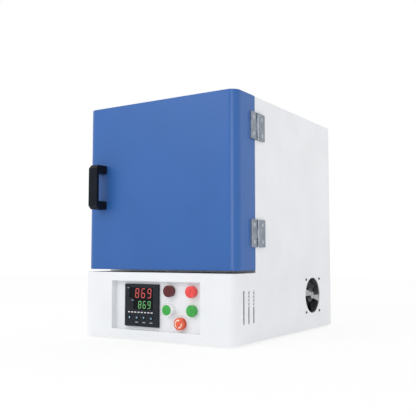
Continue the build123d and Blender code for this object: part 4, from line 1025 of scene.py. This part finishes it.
class FURNACE_OT_stage(bpy.types.Operator):
    """Lay the pale floor, and set the soft light and the camera"""

    bl_idname = "furnace.stage"
    bl_label = "Studio"

    def execute(self, context):
        settings = studio()
        steps = np.linspace(-4.0, 4.0, 9)
        grid = np.stack(np.meshgrid(steps, steps, indexing="ij"), axis=-1)
        points = np.dstack((grid, np.full(grid.shape[:2], -0.0005)))
        floor = floor_sheet(points)
        white_surround(settings.world_strength)
        soft_light("front_light", (-0.9, -2.4, 1.7), (0.0, 0.0, 0.3), (1.6, 1.6), settings.key_power)
        strip = soft_light(
            "strip_light", (0.99, -1.65, 0.5), (0.19, -0.24, 0.5), (0.14, 1.2), settings.strip_power
        )
        strip.visible_diffuse = False
        camera_data = bpy.data.cameras.new("photo_camera")
        camera_data.lens = settings.lens
        camera_data.sensor_width = 36.0
        camera = bpy.data.objects.new("photo_camera", camera_data)
        context.scene.collection.objects.link(camera)
        camera.location = settings.camera_place
        ahead = Vector(
            (
                -math.sin(settings.camera_turn) * math.cos(settings.camera_rise),
                math.cos(settings.camera_turn) * math.cos(settings.camera_rise),
                math.sin(settings.camera_rise),
            )
        )
        camera.rotation_euler = ahead.to_track_quat("-Z", "Y").to_euler()
        context.scene.camera = camera
        context.scene.view_settings.view_transform = "Standard"
        return {"FINISHED"}


def floor_sheet(points):
    """Flat floor from a grid of points, with the white painted finish of a studio table."""
    rows, columns = points.shape[:2]
    index = np.arange(rows * columns).reshape(rows, columns)
    corners = np.stack(
        (index[:-1, :-1], index[1:, :-1], index[1:, 1:], index[:-1, 1:]), axis=-1
    ).reshape(-1, 4)
    mesh = bpy.data.meshes.new("floor")
    mesh.from_pydata(points.reshape(-1, 3), [], corners)
    floor = bpy.data.objects.new("floor", mesh)
    bpy.context.scene.collection.objects.link(floor)
    material, tree, shader, coordinates = new_material("studio_floor", (1.0, 1.0, 1.0), roughness=0.9)
    shader.inputs["Specular IOR Level"].default_value = 0.0
    glow = add_node(tree, "ShaderNodeEmission", {"Color": (1.0, 1.0, 1.0, 1.0), "Strength": 1.0})
    share = add_node(tree, "ShaderNodeMath", {0: seen_directly(tree), 1: FLOOR_GLOW}, operation="MULTIPLY")
    blend = add_node(
        tree, "ShaderNodeMixShader", {0: share.outputs[0], 1: shader.outputs[0], 2: glow.outputs[0]}
    )
    tree.links.new(blend.outputs[0], tree.nodes["Material Output"].inputs["Surface"])
    mesh.materials.append(material)
    return floor


def seen_directly(tree):
    """Socket that is 1 for the camera's rays and those of reflections and glass, and 0 for lighting rays."""
    path = add_node(tree, "ShaderNodeLightPath")
    seen = add_node(
        tree, "ShaderNodeMath",
        {0: path.outputs["Is Camera Ray"], 1: path.outputs["Is Transmission Ray"]}, operation="MAXIMUM",
    )
    return add_node(
        tree, "ShaderNodeMath", {0: seen.outputs[0], 1: path.outputs["Is Glossy Ray"]}, operation="MAXIMUM"
    ).outputs[0]


def white_surround(strength):
    """World that lights the furnace at one strength and shows pure white to the camera and in reflections."""
    world = bpy.data.worlds.new("white_surround")
    bpy.context.scene.world = world
    world.use_nodes = True
    tree = world.node_tree
    background = tree.nodes["Background"]
    level = add_node(
        tree, "ShaderNodeMapRange", {"Value": seen_directly(tree), "To Min": strength, "To Max": 1.0}
    )
    background.inputs["Color"].default_value = (1.0, 1.0, 1.0, 1.0)
    tree.links.new(level.outputs["Result"], background.inputs["Strength"])


def soft_light(name, place, target, size, power):
    """Area light of a width and height at a place, facing a target."""
    data = bpy.data.lights.new(name, "AREA")
    data.shape = "RECTANGLE"
    data.size, data.size_y = size
    data.energy = power
    light = bpy.data.objects.new(name, data)
    light.location = place
    light.rotation_euler = (Vector(target) - Vector(place)).to_track_quat("-Z", "Y").to_euler()
    bpy.context.scene.collection.objects.link(light)
    return light


OPERATORS = (
    FURNACE_OT_case,
    FURNACE_OT_door,
    FURNACE_OT_door_seal,
    FURNACE_OT_hot_parts,
    FURNACE_OT_services,
    FURNACE_OT_fan,
    FURNACE_OT_lamps,
    FURNACE_OT_start_button,
    FURNACE_OT_emergency_stop,
    FURNACE_OT_controller,
    FURNACE_OT_stage,
)


class FURNACE_PT_panel(bpy.types.Panel):
    """Sidebar panel that lists the furnace's operators and settings."""

    bl_idname = "FURNACE_PT_panel"
    bl_label = "Muffle furnace"
    bl_space_type = "VIEW_3D"
    bl_region_type = "UI"
    bl_category = "Furnace"

    def draw(self, context):
        for operator in OPERATORS:
            self.layout.operator(operator.bl_idname)
        for settings in (colours(), sizes(), studio()):
            column = self.layout.column()
            for name in settings.bl_rna.properties.keys():
                if name not in ("rna_type", "name"):
                    column.prop(settings, name)


SETTINGS = {
    "furnace_colours": FurnaceColours,
    "furnace_sizes": FurnaceSizes,
    "furnace_studio": StudioSettings,
}


def register():
    for name, group in SETTINGS.items():
        bpy.utils.register_class(group)
        setattr(bpy.types.Scene, name, bpy.props.PointerProperty(type=group))
    for operator in OPERATORS:
        bpy.utils.register_class(operator)
    bpy.utils.register_class(FURNACE_PT_panel)


def unregister():
    bpy.utils.unregister_class(FURNACE_PT_panel)
    for operator in reversed(OPERATORS):
        bpy.utils.unregister_class(operator)
    for name, group in reversed(SETTINGS.items()):
        delattr(bpy.types.Scene, name)
        bpy.utils.unregister_class(group)


def main():
    register()
    for operator in OPERATORS:
        group, action = operator.bl_idname.split(".")
        getattr(getattr(bpy.ops, group), action)()


if __name__ == "__main__":
    main()
